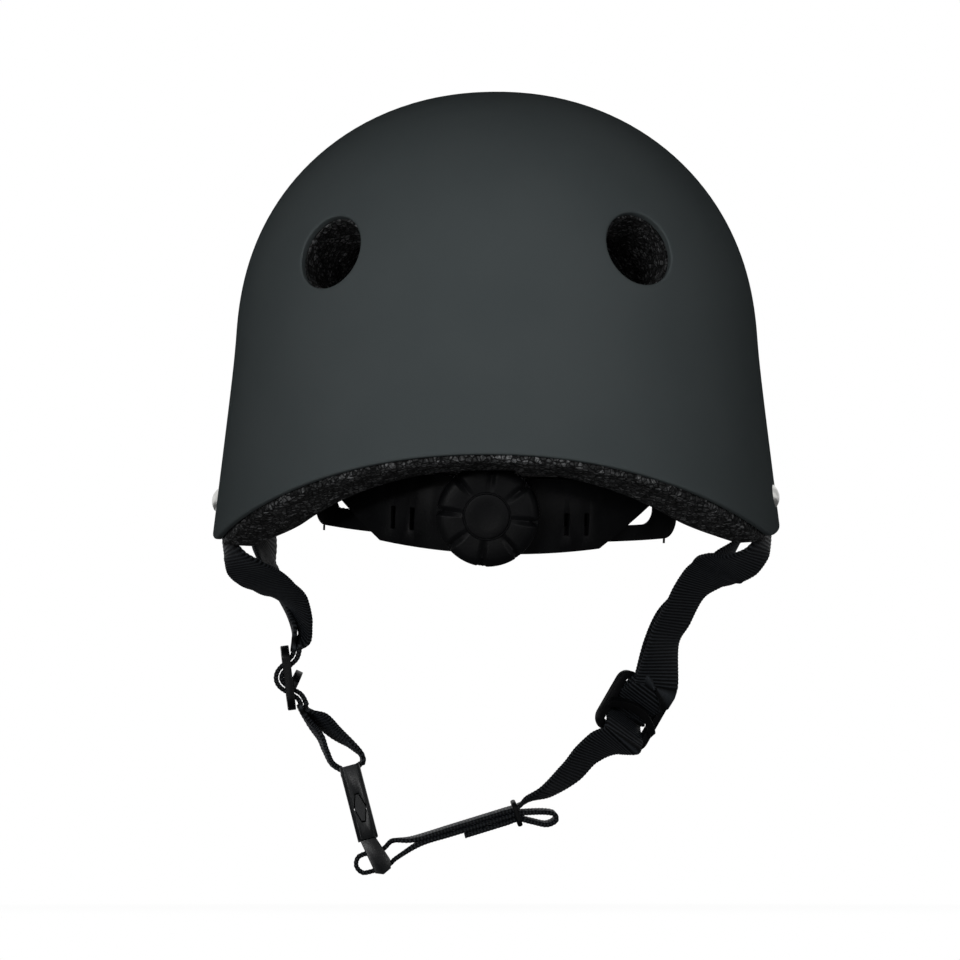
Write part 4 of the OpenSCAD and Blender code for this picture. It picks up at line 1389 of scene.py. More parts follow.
LEFT_DIVIDER = Divider((81.5, -6, -45.5), (-0.12, -0.1, -0.99), (-0.98, -0.13, 0.05))
RIGHT_DIVIDER = Divider((-50.5, -6, -58.5), (0.5, 0.1, -0.86), (-0.5, 0.8, -0.3))
BUCKLE = Frame((51, -15, -107), (0, 15, 5.4))
CHIN = Frame((-6, -17, -97), (-5, 17, 2))
RING = Frame((-1.2, 10, 24), (-14, -2.6, 0))


@dataclass
class Harness:
    """Chin straps: every run of webbing from the rivets to the buckle and the folded tail."""

    strap_inset: float = 4.9
    layer: float = 2.1
    bar_z: float = 26.2
    wrap_r: float = 3.15
    wrap_angles: Sequence[int] = (30, 0, -30, -60, -90, -120, -150, -180, -210)
    turn_r: float = 3.5
    turn_angles: Sequence[int] = (90, 45, 0, -45, -90)
    turn_centre: tuple[float, float] = (3.4, -8.6)
    rivet_steps: Sequence[float] = (7, 0, -8, -14)
    divider_reach: float = 13

    def rivet_rows(self, side: int, place: Row) -> list[Row]:
        """Rows of a strap from above its rivet down to the rim.

        Args:
            side: 1 for the wearer's left and -1 for the right.
            place: the rivet's angle, height and direction.

        Returns:
            The rows, downward.
        """
        t, z, azimuth, _ = place
        a = math.radians(azimuth)
        lie = (-side * math.cos(a), math.sin(a), 0)
        return [(*DOME.at(side * t, z + dz, self.strap_inset), *lie) for dz in self.rivet_steps]

    def off_rim(self, side: int, place: Row, offset: Row, lie: Row) -> Row:
        """Row set off from where a strap leaves the rim.

        Args:
            side: 1 for the wearer's left and -1 for the right.
            place: the strap's rivet.
            offset: the step from the rim.
            lie: the webbing's width direction.

        Returns:
            The row.
        """
        t, z = place[:2]
        return (*(DOME.at(side * t, z + self.rivet_steps[-1], self.strap_inset) + vec(*offset)), *lie)

    def left(self) -> None:
        """Left webbing: front rivet, divider, socket bar, divider again, rear rivet."""
        front_run = [self.off_rim(1, FRONT_RIVET, (-0.5, -0.5, -10), (0.24, 0.97, 0)),
                     self.off_rim(1, FRONT_RIVET, (-0.5, 2.8, -16), (0.25, 0.97, 0)),
                     self.off_rim(1, FRONT_RIVET, (-3, 10.5, -23.5), (0.15, 0.98, 0)),
                     (87.5, -20, -11.5, 0, 1, 0), (82, -11, -21, -0.1, 0.99, 0),
                     (79.5, -7, -28, -0.1, 0.99, 0)]
        front_leg = [(73, -10.5, -63, -0.12, 0.99, 0.05), (69.5, -11.8, -68, -0.15, 0.98, 0.05),
                     (67.5, -12.8, -73, -0.15, 0.98, 0), (65, -13.8, -78, -0.12, 0.98, 0)]
        rear_leg = [(53.6, -14.8, -77.5, -0.1, 0.99, 0), (54, -14, -74.5, -0.1, 0.99, 0.02),
                    (58, -13, -70.5, -0.1, 0.99, 0.08), (64, -12, -66, -0.18, 0.97, 0.16),
                    (69.5, -10, -61, -0.2, 0.96, 0.2)]
        rear_run = [(76.2, -3, -28, -0.35, 0.94, 0), (77, 2.5, -21.3, -0.36, 0.93, 0.05),
                    (79.8, 9, -16.5, -0.3, 0.95, 0.15), (84.3, 18, -13.2, -0.37, 0.91, 0.19),
                    self.off_rim(1, REAR_RIVET, (-11, -12, -13.5), (-0.5, 0.82, 0.27)),
                    self.off_rim(1, REAR_RIVET, (-7, -4.5, -10.5), (-0.5, 0.82, 0.22)),
                    self.off_rim(1, REAR_RIVET, (-3.2, -1, -6.5), (-0.4, 0.9, 0.1))]
        wrap = [BUCKLE.row(self.wrap_r * math.cos(math.radians(a)),
                           self.bar_z + self.wrap_r * math.sin(math.radians(a)))
                for a in self.wrap_angles]
        weave = LEFT_DIVIDER.weave(-1)
        back = list(reversed(LEFT_DIVIDER.weave(1)))
        upper = self.rivet_rows(1, FRONT_RIVET) + front_run
        legs = front_leg + wrap + rear_leg
        rows = upper + weave + legs + back + rear_run + list(reversed(self.rivet_rows(1, REAR_RIVET)))
        strap = Webbing(rows)
        top, bottom = len(upper), len(upper) + len(weave) - 1
        loop_end = bottom + len(legs) + 1
        rise = loop_end + len(back) - 1
        above, below = LEFT_DIVIDER.at(-self.divider_reach), LEFT_DIVIDER.at(self.divider_reach)
        self.bridge(strap.piece("left_strap_front", 0, top), Body.HELMET, Body.LEFT_GUIDE,
                    vec(97, -38, 8), above, "left_strap")
        self.carry(strap.piece("left_strap_front_weave", top, bottom), Body.LEFT_GUIDE)
        self.bridge(strap.piece("left_strap_loop", bottom, loop_end), Body.LEFT_GUIDE, Body.HELMET,
                    below, BUCKLE.at(0, 0, self.bar_z + 5))
        self.carry(strap.piece("left_strap_rear_weave", loop_end, rise), Body.LEFT_GUIDE)
        self.bridge(strap.piece("left_strap_rear", rise, len(rows) - 1), Body.LEFT_GUIDE, Body.HELMET,
                    above, vec(94, 34, -4))

    def right_rear(self) -> None:
        """Right rear webbing, down to where it is sewn behind the divider."""
        run = [self.off_rim(-1, REAR_RIVET, (3, -1, -6.5), (0.4, 0.9, 0.05)),
               self.off_rim(-1, REAR_RIVET, (9, -5, -10.5), (0.5, 0.8, 0.25)),
               self.off_rim(-1, REAR_RIVET, (15, -11.5, -11), (0.35, 0.82, 0.4)),
               (-81.5, 20, -9, 0.4, 0.84, 0.36),
               (-77.2, 14, -11, 0.42, 0.84, 0.32), (-72.3, 9.5, -15.5, 0.42, 0.87, 0.25),
               (-67.2, 5, -24.5, 0.46, 0.86, 0.24), (-62.8, 1.5, -33, 0.46, 0.85, 0.26)]
        upper = self.rivet_rows(-1, REAR_RIVET) + run
        rows = upper + RIGHT_DIVIDER.weave(1, 3)
        strap = Webbing(rows)
        self.bridge(strap.piece("right_strap_rear", 0, len(upper)), Body.HELMET, Body.RIGHT_GUIDE,
                    vec(-93, 35, -3), RIGHT_DIVIDER.at(-self.divider_reach), "right_rear_strap")
        self.carry(strap.piece("right_strap_rear_weave", len(upper), len(rows) - 1),
                   Body.RIGHT_GUIDE)

    def right_front(self) -> None:
        """Right front webbing: divider, keeper, plug, keeper again and the folded tail."""
        front_run = [self.off_rim(-1, FRONT_RIVET, (0, 0.3, -8), (-0.2, 0.97, 0)),
                     self.off_rim(-1, FRONT_RIVET, (3.5, 1, -15), (0, 0.99, 0.1)),
                     self.off_rim(-1, FRONT_RIVET, (11, 6.5, -22.5), (0.2, 0.95, 0.1)),
                     (-77.5, -27, -8, 0.25, 0.95, 0.1),
                     (-70.5, -20, -15.5, 0.28, 0.94, 0.12), (-64, -14.5, -24.5, 0.35, 0.92, 0.18),
                     (-60.1, -8.8, -36, 0.46, 0.85, 0.26)]
        chin_run = [(-39.5, -6.5, -71.5, 0.35, 0.88, 0.36), (-33, -10, -75.5, 0.28, 0.92, 0.28),
                    (-26.5, -12.5, -82.3, 0.25, 0.93, 0.25), (-17.8, -14.5, -89, 0.12, 0.98, 0.12),
                    (-10.5, -16.4, -92, 0, 1, 0)]
        out_run = [CHIN.row(s, self.layer) for s in (-0.5, 5, 14, 26, 40)]
        slot_in = [BUCKLE.row(-9, -3), BUCKLE.row(-4.5, -5)]
        turn_x, turn_z = self.turn_centre
        turn = [BUCKLE.row(turn_x + self.turn_r * math.cos(math.radians(a)),
                           turn_z + self.turn_r * math.sin(math.radians(a))) for a in self.turn_angles]
        slot_out = [BUCKLE.row(-4.5, -11.6), BUCKLE.row(-9, -9.6)]
        back_run = [CHIN.row(s, 0) for s in (38, 26, 14, 5, 0)]
        fold = [CHIN.row(*q) for q in ((-5, -1), (-10.5, -2.6), (-13.8, -4.4), (-13.4, -6.8),
                                       (-9.5, -7.2), (-4.5, -4.5))]
        tail = [CHIN.row(s, -self.layer) for s in (0, 5, 14, 21.5)]
        weave = RIGHT_DIVIDER.weave(-1)
        upper = self.rivet_rows(-1, FRONT_RIVET) + front_run
        rows = upper + weave + chin_run + out_run + slot_in + turn + slot_out + back_run + fold + tail
        strap = Webbing(rows)
        top, bottom = len(upper), len(upper) + len(weave) - 1
        bundle = bottom + len(chin_run) - 1
        self.bridge(strap.piece("right_strap_front", 0, top), Body.HELMET, Body.RIGHT_GUIDE,
                    vec(-95, -40, 12), RIGHT_DIVIDER.at(-self.divider_reach), "right_front_strap")
        self.carry(strap.piece("right_strap_front_weave", top, bottom), Body.RIGHT_GUIDE)
        self.bridge(strap.piece("right_strap_chin", bottom, bundle), Body.RIGHT_GUIDE, Body.HELMET,
                    RIGHT_DIVIDER.at(self.divider_reach), vec(*chin_run[-2][:3]))
        self.bridge(strap.piece("right_strap_bundle", bundle, len(rows) - 1), Body.HELMET, Body.PLUG,
                    CHIN.at(6, 0, 0), BUCKLE.at(-9, 0, -6))

    def declare(self) -> None:
        """Works out the webbing's width in metres, and keeps nothing of it."""
        Webbing.width * MM

    def carry(self, piece: bpy.types.Object, body: Body) -> None:
        """Lets a stretch ride whole on one body.

        Args:
            piece: the stretch.
            body: the body that it rides on.
        """
        ride(piece, body)
        self.declare()

    def bridge(self, piece: bpy.types.Object, one: Body, two: Body, start: Array, end: Array,
               *nodes: str) -> None:
        """Fixes a stretch where it stands, hides the CAD nodes that it stands for, and reports the bodies at
        its two ends.

        Args:
            piece: the stretch.
            one: the body at its start.
            two: the body at its end.
            start: not used.
            end: not used.
            nodes: CAD nodes that it stands for.
        """
        tuple(start * MM)
        tuple(end * MM)
        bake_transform(piece)
        if nodes:
            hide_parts(*nodes)
        LOG.info("%s: %d faces from %s to %s", piece.name, len(piece.data.polygons), one.value, two.value)
        self.declare()

    def build(self) -> None:
        """Builds the three straps."""
        self.left()
        self.right_rear()
        self.right_front()


@dataclass
class SideBand:
    """Flexible band from a rack's end to the temple anchor."""

    side: int
    ring_r: float
    body: Body
    node: str
    rack_outer: float = 77
    lift: float = 3.5
    stops: Sequence[Row] = ((69, 21.5, 29.5), (75, 27.7, 27.4), (95, 35, 30.4))
    half_w: float = 6.5
    half_t: float = 0.8
    temple: Sequence[float] = (122, 44)
    anchor_inset: float = 26.9
    tip_way: tuple[float, float] = (3.1, 7.4)
    tip_stops: Sequence[float] = (1.1, 0, -1)
    root_turn: float = 5
    steps: int = 10

    def rows(self) -> list[Row]:
        """Rows of a point and a width direction, from the rack to the temple.

        Returns:
            The rows, from the nape forward.
        """
        end = math.degrees((self.rack_outer + 1) / self.ring_r)
        rows = []
        for a in (math.radians(end), math.radians(end + self.root_turn)):
            x, y = self.side * self.ring_r * math.sin(a), self.ring_r * math.cos(a)
            rows.append((*RING.at(x, y, self.lift), *(RING.matrix() @ vec(0, 0, 1))))
        rows += [(*DOME.at(self.side * t, z, inset), 0, 0.22, 0.97) for t, z, inset in self.stops]
        tip = DOME.at(self.side * self.temple[0], self.temple[1], self.anchor_inset)
        for reach in self.tip_stops:
            step = vec(self.side * self.tip_way[0], self.tip_way[1], 0) * reach
            rows.append((*(tip + step), -0.1 * self.side, 0.04, 0.99))
        return rows

    def build(self) -> None:
        """Sweeps a thin section with raised edges along the rows."""
        rows = [np.array(row) for row in self.rows()]
        count = len(rows)
        track = []
        for i in range(count - 1):
            near = (rows[max(i - 1, 0)], rows[i], rows[i + 1], rows[min(i + 2, count - 1)])
            track += [curve_row(*near, k / self.steps) for k in range(self.steps)]
        track.append(rows[-1])
        edge, t = self.half_w, self.half_t
        profile = [(-edge, 0.3 * t), (-edge + 0.4, t), (-edge + 1.6, t), (-edge + 2.0, 0.7 * t),
                   (edge - 2.0, 0.7 * t), (edge - 1.6, t), (edge - 0.4, t), (edge, 0.3 * t)]
        profile += [(x, -y) for x, y in reversed(profile)]
        draft = Draft()
        rings = []
        for i, row in enumerate(track):
            along = unit(track[min(i + 1, len(track) - 1)][:3] - track[max(i - 1, 0)][:3])
            lie = unit(row[3:] - along * (row[3:] @ along))
            up = np.cross(along, lie)
            rings.append(draft.add([row[:3] + lie * x + up * y for x, y in profile]))
        for one, two in zip(rings, rings[1:]):
            draft.strip(one, two)
        draft.faces += [tuple(rings[0]), tuple(reversed(rings[-1]))]
        piece = draft.piece(self.node + "_strip", MouldedPlastic(), crease=30)
        start, end = track[0][:3], rows[-3][:3]
        tuple(start * MM)
        tuple(end * MM)
        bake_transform(piece)
        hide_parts(self.node)
        LOG.info("%s: %d faces from %s to helmet", piece.name, len(piece.data.polygons), self.body.value)


@dataclass
class Dial:
    """Lobed dial with a knurled skirt, notched face and round hub."""

    radius: float = 17.8
    depth: float = 11
    back: float = 84.1
    lobes: int = 8
    knurls: int = 96
    samples_per_knurl: int = 4
    notch_half_w: float = 1.7
    first_notch: float = 5
    knurl_depth: float = 0.28
    notch_in: float = 2.1
    notch_down: float = 1.5
    hub_r: float = 8

    def profile(self) -> list[tuple[float, float, float, float]]:
        """Radius, depth, share of knurl and share of notch along the section.

        Returns:
            The section's stations, from the back to the hub.
        """
        r, d = self.radius, self.depth
        return [(13.8, 3.2, 0, 0), (13.8, 0.5, 0, 0), (14.1, 0.2, 0, 0), (r - 0.9, 0.2, 0, 0),
                (r - 0.35, 0.45, 0.3, 0), (r, 0.9, 1, 0), (r, 2.5, 1, 0), (r, 4.6, 1, 0), (r, 6.4, 1, 0),
                (r - 0.1, 6.7, 0.2, 0), (r - 0.5, 6.9, 0, 0.1), (r - 0.5, 7.2, 0, 0.3),
                (r - 0.1, 7.4, 0, 1), (r, 7.8, 0, 1), (r - 0.1, 8.7, 0, 1), (r - 0.45, 9.3, 0, 1),
                (r - 1.1, 9.9, 0, 1), (r - 2.0, d - 0.55, 0, 1), (r - 3.2, d - 0.3, 0, 0.9),
                (r - 5.5, d - 0.2, 0, 0.7), (r - 7.5, d - 0.25, 0, 0.45), (self.hub_r + 0.5, d - 0.35, 0, 0),
                (self.hub_r + 0.2, d - 0.8, 0, 0), (self.hub_r - 0.1, d - 0.8, 0, 0),
                (self.hub_r - 0.4, d - 0.1, 0, 0), (self.hub_r - 0.9, d, 0, 0), (4.5, d - 0.25, 0, 0),
                (2.0, d - 0.4, 0, 0)]

    def notch(self, angle: float, r: float) -> float:
        """Depth share of the nearest V notch at an angle in radians.

        Args:
            angle: angle round the dial, in radians.
            r: radius.

        Returns:
            1 in the middle of a notch and 0 outside it.
        """
        pitch = 2 * math.pi / self.lobes
        offset = (angle - math.radians(self.first_notch) + pitch / 2) % pitch - pitch / 2
        return max(0.0, 1 - abs(offset) * r / self.notch_half_w)

    def build(self) -> None:
        """Turns the profile round the dial's axis, with knurls and notches."""
        steps = self.knurls * self.samples_per_knurl
        draft = Draft()
        last: list[int] = []
        for r, d, knurl, notch in self.profile():
            ring = []
            for k in range(steps):
                a = 2 * math.pi * k / steps
                groove = self.knurl_depth * knurl * (0.5 - 0.5 * math.cos(self.knurls * a))
                cut = self.notch(a, r) * notch
                rim = smooth_step(self.radius - 4, self.radius - 0.4, r)
                radius = r - groove - cut * self.notch_in * rim
                on_face = 1 if r < self.radius - 0.3 else 0
                depth = d - cut * self.notch_down * (1 - 0.7 * rim) * on_face
                ring.append(RING.at(radius * math.cos(a), self.back + depth, radius * math.sin(a)))
            ids = draft.add(ring)
            if last:
                draft.strip(last, ids)
            else:
                draft.fan(ids, draft.add([RING.at(0, self.back + 3.2, 0)])[0])
            last = ids
        draft.fan(last, draft.add([RING.at(0, self.back + self.depth - 0.45, 0)])[0])
        piece = draft.piece("dial_cap", MouldedPlastic(name="dial_plastic", roughness=0.42), crease=32)
        ride(piece, Body.DIAL, "dial_knob")


@dataclass
class KeeperRing:
    """Rubber ring round the chin bundle."""

    half_w: float = 10.97
    half_h: float = 4.28
    corner: float = 2.2
    cord: Sequence[float] = (0.95, 0.55)
    corner_steps: int = 8
    cord_steps: int = 14

    def build(self) -> None:
        """Sweeps an oval cord along a round-cornered loop."""
        loop = []
        for k, (sy, sz) in enumerate(((1, 1), (-1, 1), (-1, -1), (1, -1))):
            for j in range(self.corner_steps + 1):
                a = math.pi / 2 * (k + j / self.corner_steps)
                y = sy * (self.half_w - self.corner) + self.corner * math.cos(a)
                z = sz * (self.half_h - self.corner) + self.corner * math.sin(a)
                loop.append((y, z, math.cos(a), math.sin(a)))
        draft = Draft()
        rings = []
        for y, z, ny, nz in loop:
            ring = []
            for k in range(self.cord_steps):
                a = 2 * math.pi * k / self.cord_steps
                along, out = self.cord[0] * math.cos(a), self.cord[1] * math.sin(a)
                ring.append(CHIN.at(along, y + ny * out, z + nz * out))
            rings.append(draft.add(ring))
        for i, ring in enumerate(rings):
            draft.strip(ring, rings[(i + 1) % len(rings)])
        ride(draft.piece("keeper_ring", SoftRubber(), crease=60), Body.KEEPER, "strap_keeper")


@dataclass
class PadShape:
    """Crowned pad on a curved back, with a bound edge."""

    name: str
    place: Place
    outline: Callable[[float], tuple[float, float]]
    edge_t: float = 2.2
    mid_t: float = 6
    spokes: int = 96
    binding_r: float = 0.75
    binding_steps: int = 8

    def build(self) -> bpy.types.Object:
        """Makes the pad and the binding sewn round its edge.

        Returns:
            The pad without its binding.
        """
        angles = [2 * math.pi * k / self.spokes for k in range(self.spokes)]
        seam = self.edge_t / 2
        profile = [(0.12 * k, 0.1) for k in range(1, 8)] + [(0.93, 0.12), (0.975, 0.35), (1.0, seam)]
        for share in (0.975, 0.95, 0.91, 0.86, 0.8, 0.7, 0.6, 0.48, 0.36, 0.24, 0.12):
            swell = (1 - share ** 3.2) ** 0.62
            profile.append((share, self.edge_t * 0.72 + (self.mid_t - self.edge_t * 0.72) * swell))
        draft = Draft()
        first = draft.add([self.place(0, 0, 0.1)])[0]
        last: list[int] = []
        for share, depth in profile:
            row = []
            for a in angles:
                u, v = self.outline(a)
                row.append(self.place(share * u, share * v, depth))
            ids = draft.add(row)
            if last:
                draft.strip(last, ids)
            else:
                draft.fan(ids, first)
            last = ids
        draft.fan(last, draft.add([self.place(0, 0, self.mid_t)])[0])
        pad = draft.piece(self.name + "_cushion", KnitPad(), crease=70)
        self.bind(angles, seam)
        return pad

    def bind(self, angles: Sequence[float], seam: float) -> None:
        """Sews a round binding along the pad's edge.

        Args:
            angles: angles round the pad, in radians.
            seam: depth of the seam.
        """
        path = [self.place(*self.outline(a), seam) for a in angles]
        turn = [2 * math.pi * k / self.binding_steps for k in range(self.binding_steps)]
        draft = Draft()
        rings = []
        for i, p in enumerate(path):
            along = unit(path[(i + 1) % len(path)] - path[i - 1])
            side = unit(np.cross(along, self.place(0, 0, 0) - p))
            other = np.cross(along, side)
            rings.append(draft.add([p + self.binding_r * (math.cos(b) * side + math.sin(b) * other)
                                    for b in turn]))
        for i, ring in enumerate(rings):
            draft.strip(ring, rings[(i + 1) % len(rings)])
        binding = draft.piece(self.name + "_binding", KnitPad(name="binding_tape"), crease=70)
        ride(binding, Body.HELMET)


def round_outline(a: float) -> tuple[float, float]:
    """Outline of a round pad."""
    return math.cos(a), math.sin(a)


def square_outline(a: float) -> tuple[float, float]:
    """Outline of a pad with broad round corners.

    Args:
        a: angle round the pad, in radians.

    Returns:
        The outline's place, within 1 each way.
    """
    size = max(abs(math.cos(a)), abs(math.sin(a)))
    u, v = math.cos(a) / size, math.sin(a) / size
    return u * math.sqrt(1 - 0.36 * v * v), v * math.sqrt(1 - 0.36 * u * u)


@dataclass
class PadSet:
    """Comfort pads on the foam, and the nape pads on the cradle."""

    back: float = 27
    crown_r: float = 46
    nape_r: float = 74.7
    nape_t: float = 4.1
    nape_turn: tuple[float, float] = (16.5, 10.5)
    nape_height: tuple[float, float] = (1.5, 6.5)

    def on_foam(self, t: float, t_half: float, z: float, z_half: float) -> Place:
        """Gives the placing of a pad in angle and height on the foam.

        Args:
            t: angle of the pad's middle from the nape.
            t_half: half its angle.
            z: height of its middle.
            z_half: half its height.

        Returns:
            The function that places its points.
        """
        return lambda u, v, depth: DOME.at(t + t_half * u, z + z_half * v, self.back + depth)

    def on_crown(self, u: float, v: float, depth: float) -> Array:
        """Places a point of the crown pad."""
        return DOME.under(self.crown_r * u, self.crown_r * v, self.back + depth)

    def on_cradle(self, side: int) -> Place:
        """Gives the placing of a nape pad on the cradle's inner face.

        Args:
            side: 1 for the wearer's left and -1 for the right.

        Returns:
            The function that places its points.
        """
        turn, half_turn = self.nape_turn
        middle, half_height = self.nape_height

        def place(u: float, v: float, depth: float) -> Array:
            """Places a point of the nape pad.

            Args:
                u: place along the pad.
                v: place up the pad.
                depth: depth over the cradle.

            Returns:
                The point.
            """
            a = math.radians(side * (turn + half_turn * u))
            r = self.nape_r - depth
            return RING.at(r * math.sin(a), r * math.cos(a), middle + half_height * v)
        return place

    def build(self) -> None:
        """Builds the pads and sets each on the helmet."""
        shapes = [
            PadShape("crown_pad", self.on_crown, round_outline),
            PadShape("brow_pad", self.on_foam(180, 36, 78, 13), square_outline),
            PadShape("left_side_pad", self.on_foam(90, 27, 84, 17), square_outline),
            PadShape("right_side_pad", self.on_foam(-90, 27, 84, 17), square_outline)]
        for shape in shapes:
            pad = shape.build()
            ride(pad, Body.HELMET, shape.name)
        for side, name in ((1, "left_nape_pad"), (-1, "right_nape_pad")):
            shape = PadShape(name, self.on_cradle(side), square_outline, 1.6, self.nape_t, binding_r=0.5)
            pad = shape.build()
            ride(pad, Body.HELMET, "nape_pads")


@dataclass(frozen=True)
class Moulding:
    """Rigid node of the frame, copied and given soft moulded edges."""

    node: str
    body: Body
    finish: Finish
    edge: float = 0.3
    segments: int = 2
    crease: float = 28
    flat_turn: float = 1.5
    weld_m: float = 1e-6

    def build(self) -> bpy.types.Object:
        """Copies the node, rounds its edges and sets the copy in its place.

        Returns:
            The rounded copy.
        """
        source = bpy.data.objects[self.node]
        mesh = source.data.copy()
        work = bmesh.new()
        work.from_mesh(mesh)
        bmesh.ops.remove_doubles(work, verts=work.verts, dist=self.weld_m)
        bmesh.ops.dissolve_limit(work, angle_limit=math.radians(self.flat_turn),
                                 verts=work.verts, edges=work.edges)
        work.to_mesh(mesh)
        work.free()
        mesh.materials.clear()
        piece = bpy.data.objects.new(self.node + "_moulded", mesh)
        bpy.context.scene.collection.objects.link(piece)
        bevel = piece.modifiers.new("edge", "BEVEL")
        bevel.width = self.edge * MM
        bevel.segments = self.segments
        bevel.limit_method = "ANGLE"
        bevel.angle_limit = math.radians(self.crease)
        bevel.use_clamp_overlap = True
        apply_modifiers(piece)
        rounded = piece.data
        bpy.data.objects.remove(piece)
        moulded = finished(rounded, self.node + "_moulded", self.finish, self.crease)
        return ride(moulded, self.body, self.node)


@dataclass
class Hardware:
    """Moulded and metal parts that keep the frame's own shapes."""

    plastic: MouldedPlastic = MouldedPlastic()
    buckle_plastic: MouldedPlastic = MouldedPlastic(
        name="buckle_plastic", colour=(0.004, 0.0045, 0.005, 1), worn=(0.012, 0.013, 0.014, 1),
        roughness=0.3, gloss=0.12)
    steel: PlatedSteel = PlatedSteel()

    def build(self) -> None:
        """Builds each moulding and finishes the nodes that stay as they are."""
        plastic, buckle, steel = self.plastic, self.buckle_plastic, self.steel
        parts = [
            Moulding("left_divider", Body.LEFT_GUIDE, plastic, 0.4),
            Moulding("right_divider", Body.RIGHT_GUIDE, plastic, 0.4),
            Moulding("buckle_socket", Body.HELMET, buckle, 0.35),
            Moulding("buckle_plug", Body.PLUG, buckle, 0.4),
            Moulding("front_prong", Body.FRONT_LATCH, buckle, 0.25),
            Moulding("rear_prong", Body.REAR_LATCH, buckle, 0.25),
            Moulding("dial_housing", Body.HELMET, plastic, 0.3),
            Moulding("nape_cradle", Body.HELMET, plastic, 0.3),
            Moulding("left_rack", Body.LEFT_SLIDER, plastic, 0.2),
            Moulding("right_rack", Body.RIGHT_SLIDER, plastic, 0.2),
            Moulding("cradle_anchors", Body.HELMET, plastic, 0.5),
            Moulding("temple_anchors", Body.HELMET, plastic, 0.5),
            Moulding("rivet_washers", Body.HELMET, steel, 0.15),
            Moulding("axle_screw", Body.DIAL, steel, 0.25)]
        for part in parts:
            part.build()
        for node, finish in (("pinion", plastic), ("strap_rivets", steel), ("detent_spring", steel),
                             ("pad_fasteners", KnitPad())):
            finish.dress(bpy.data.objects[node])
            LOG.info("%s keeps its node", node)


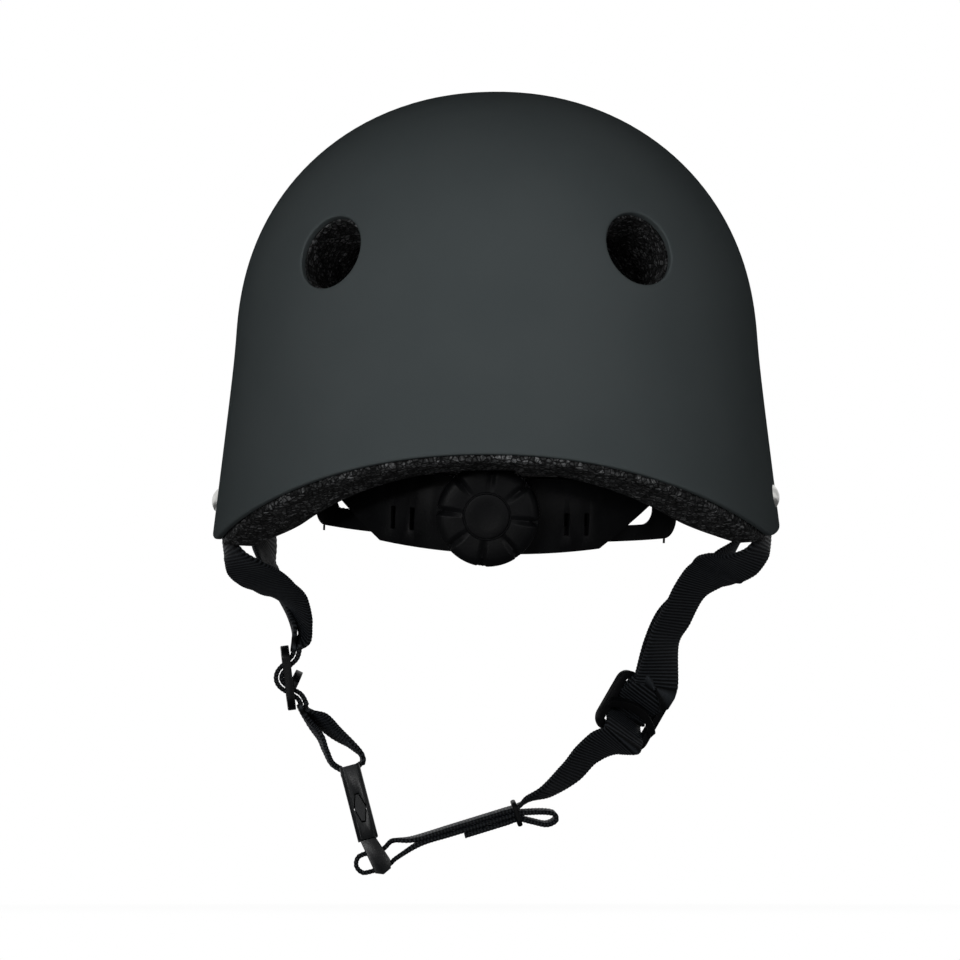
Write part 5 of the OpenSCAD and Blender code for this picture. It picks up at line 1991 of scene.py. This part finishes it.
@dataclass
class Studio:
    """Camera, floor, lamps and world."""

    frame_px: int = 960
    focal_px: float = 2590
    aim: tuple[float, float, float] = (7.2, 0, 30.1)
    distance: float = 1000
    azimuth: float = 182.79
    elevation: float = -9.01
    sensor_mm: float = 36
    floor_half: float = 6000
    clearance: float = 6
    lamp_distance: float = 1500
    lamp_height: float = -60
    ambient: float = 0.1
    floor_grey: tuple = (0.86, 0.86, 0.86, 1)
    white: tuple = (1, 1, 1, 1)
    shadow_m: tuple[float, float] = (0.12, 0.4)
    shadow_glow: float = 0.97

    def back(self, azimuth: float, elevation: float) -> Array:
        """Direction from the helmet to a lamp or the camera.

        Args:
            azimuth: angle round the helmet.
            elevation: angle above level.

        Returns:
            The direction, of length one.
        """
        a, e = math.radians(azimuth), math.radians(elevation)
        return vec(math.sin(a) * math.cos(e), -math.cos(a) * math.cos(e), math.sin(e))

    def camera(self) -> None:
        """Sets the camera at the photograph's distance and turns it to the helmet."""
        data = bpy.data.cameras.new("view")
        data.sensor_width = self.sensor_mm
        data.lens = self.focal_px * self.sensor_mm / self.frame_px
        data.clip_start, data.clip_end = 0.01, 50
        camera = bpy.data.objects.new("view", data)
        bpy.context.scene.collection.objects.link(camera)
        back = self.back(self.azimuth, self.elevation)
        camera.location = tuple((vec(*self.aim) + back * self.distance) * MM)
        camera.rotation_euler = Vector(-back).to_track_quat("-Z", "Y").to_euler()
        bpy.context.scene.camera = camera

    def lamp(self, name: str, azimuth: float, size: tuple[float, float], watts: float) -> None:
        """Adds a soft upright lamp that faces the helmet.

        Args:
            name: the lamp's name.
            azimuth: angle round the helmet.
            size: its width and height.
            watts: its power.
        """
        data = bpy.data.lights.new(name, "AREA")
        data.shape = "RECTANGLE"
        data.size, data.size_y = size[0] * MM, size[1] * MM
        data.energy = watts
        lamp = bpy.data.objects.new(name, data)
        bpy.context.scene.collection.objects.link(lamp)
        back = self.back(azimuth, 0)
        lamp.location = tuple((back * self.lamp_distance + vec(0, 0, self.lamp_height)) * MM)
        lamp.rotation_euler = Vector(-back).to_track_quat("-Z", "Z").to_euler()
        lamp.visible_camera = False

    def floor(self) -> None:
        """Lays a pale floor under the lowest strap."""
        low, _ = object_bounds()
        camera_z = bpy.context.scene.camera.location.z
        z = min(low.z, camera_z) / MM - self.clearance
        half = self.floor_half
        draft = Draft()
        corners = ((-half, -half), (half, -half), (half, half), (-half, half))
        draft.faces.append(draft.add([vec(x, y, z) for x, y in corners]))
        mesh = bpy.data.meshes.new("floor")
        mesh.from_pydata([tuple(p * MM) for p in draft.points], [], draft.faces)
        floor = bpy.data.objects.new("floor", mesh)
        bpy.context.scene.collection.objects.link(floor)
        floor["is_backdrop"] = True
        material = bpy.data.materials.new("pale_floor")
        material.use_nodes = True
        graph = Graph(material.node_tree)
        matte = graph.node("BsdfDiffuse", {}, {"Color": self.floor_grey})
        glow = graph.node("Emission", {}, {"Color": self.white, "Strength": 1.0})
        spread = graph.node("VectorMath", {"operation": "LENGTH"}, {0: graph.place()}, 1)
        seen = graph.node("LightPath", output="Is Camera Ray")
        share = seen * spread.steps(*self.shadow_m, self.shadow_glow, 1.0)
        both = graph.node("MixShader", {}, {0: share, 1: matte, 2: glow})
        graph.node("OutputMaterial", {}, {"Surface": both})
        mesh.materials.append(material)

    def world(self) -> None:
        """Shows white behind the helmet and gives it a low even light."""
        world = bpy.data.worlds.new("studio")
        bpy.context.scene.world = world
        world.use_nodes = True
        graph = Graph(world.node_tree)
        soft = graph.node("Background", {}, {"Color": self.white, "Strength": self.ambient})
        white = graph.node("Background", {}, {"Color": self.white, "Strength": 1.0})
        path = graph.node("LightPath", output="Is Camera Ray")
        clear = graph.node("LightPath", output="Is Transmission Ray")
        shine = graph.node("LightPath", output="Is Glossy Ray")
        seen = path + clear + shine
        both = graph.node("MixShader", {}, {0: seen, 1: soft, 2: white})
        graph.node("OutputWorld", {}, {"Surface": both})

    def build(self) -> None:
        """Builds the studio round the finished helmet."""
        self.floor()
        self.world()
        self.lamp("key", 159, (1000, 120), 15.5)
        self.lamp("fill", 218, (900, 120), 6.4)
        bpy.context.scene.view_settings.view_transform = "Standard"


def main() -> None:
    logging.basicConfig(level=logging.INFO, format="%(name)s: %(message)s")
    studio = Studio()
    studio.camera()
    HardShell().build()
    FoamLiner().build()
    PadSet().build()
    Harness().build()
    Hardware().build()
    SideBand(1, ring_r=77.9, body=Body.LEFT_SLIDER, node="left_band").build()
    SideBand(-1, ring_r=79.8, body=Body.RIGHT_SLIDER, node="right_band").build()
    Dial().build()
    KeeperRing().build()
    studio.build()


if __name__ == "__main__":
    main()
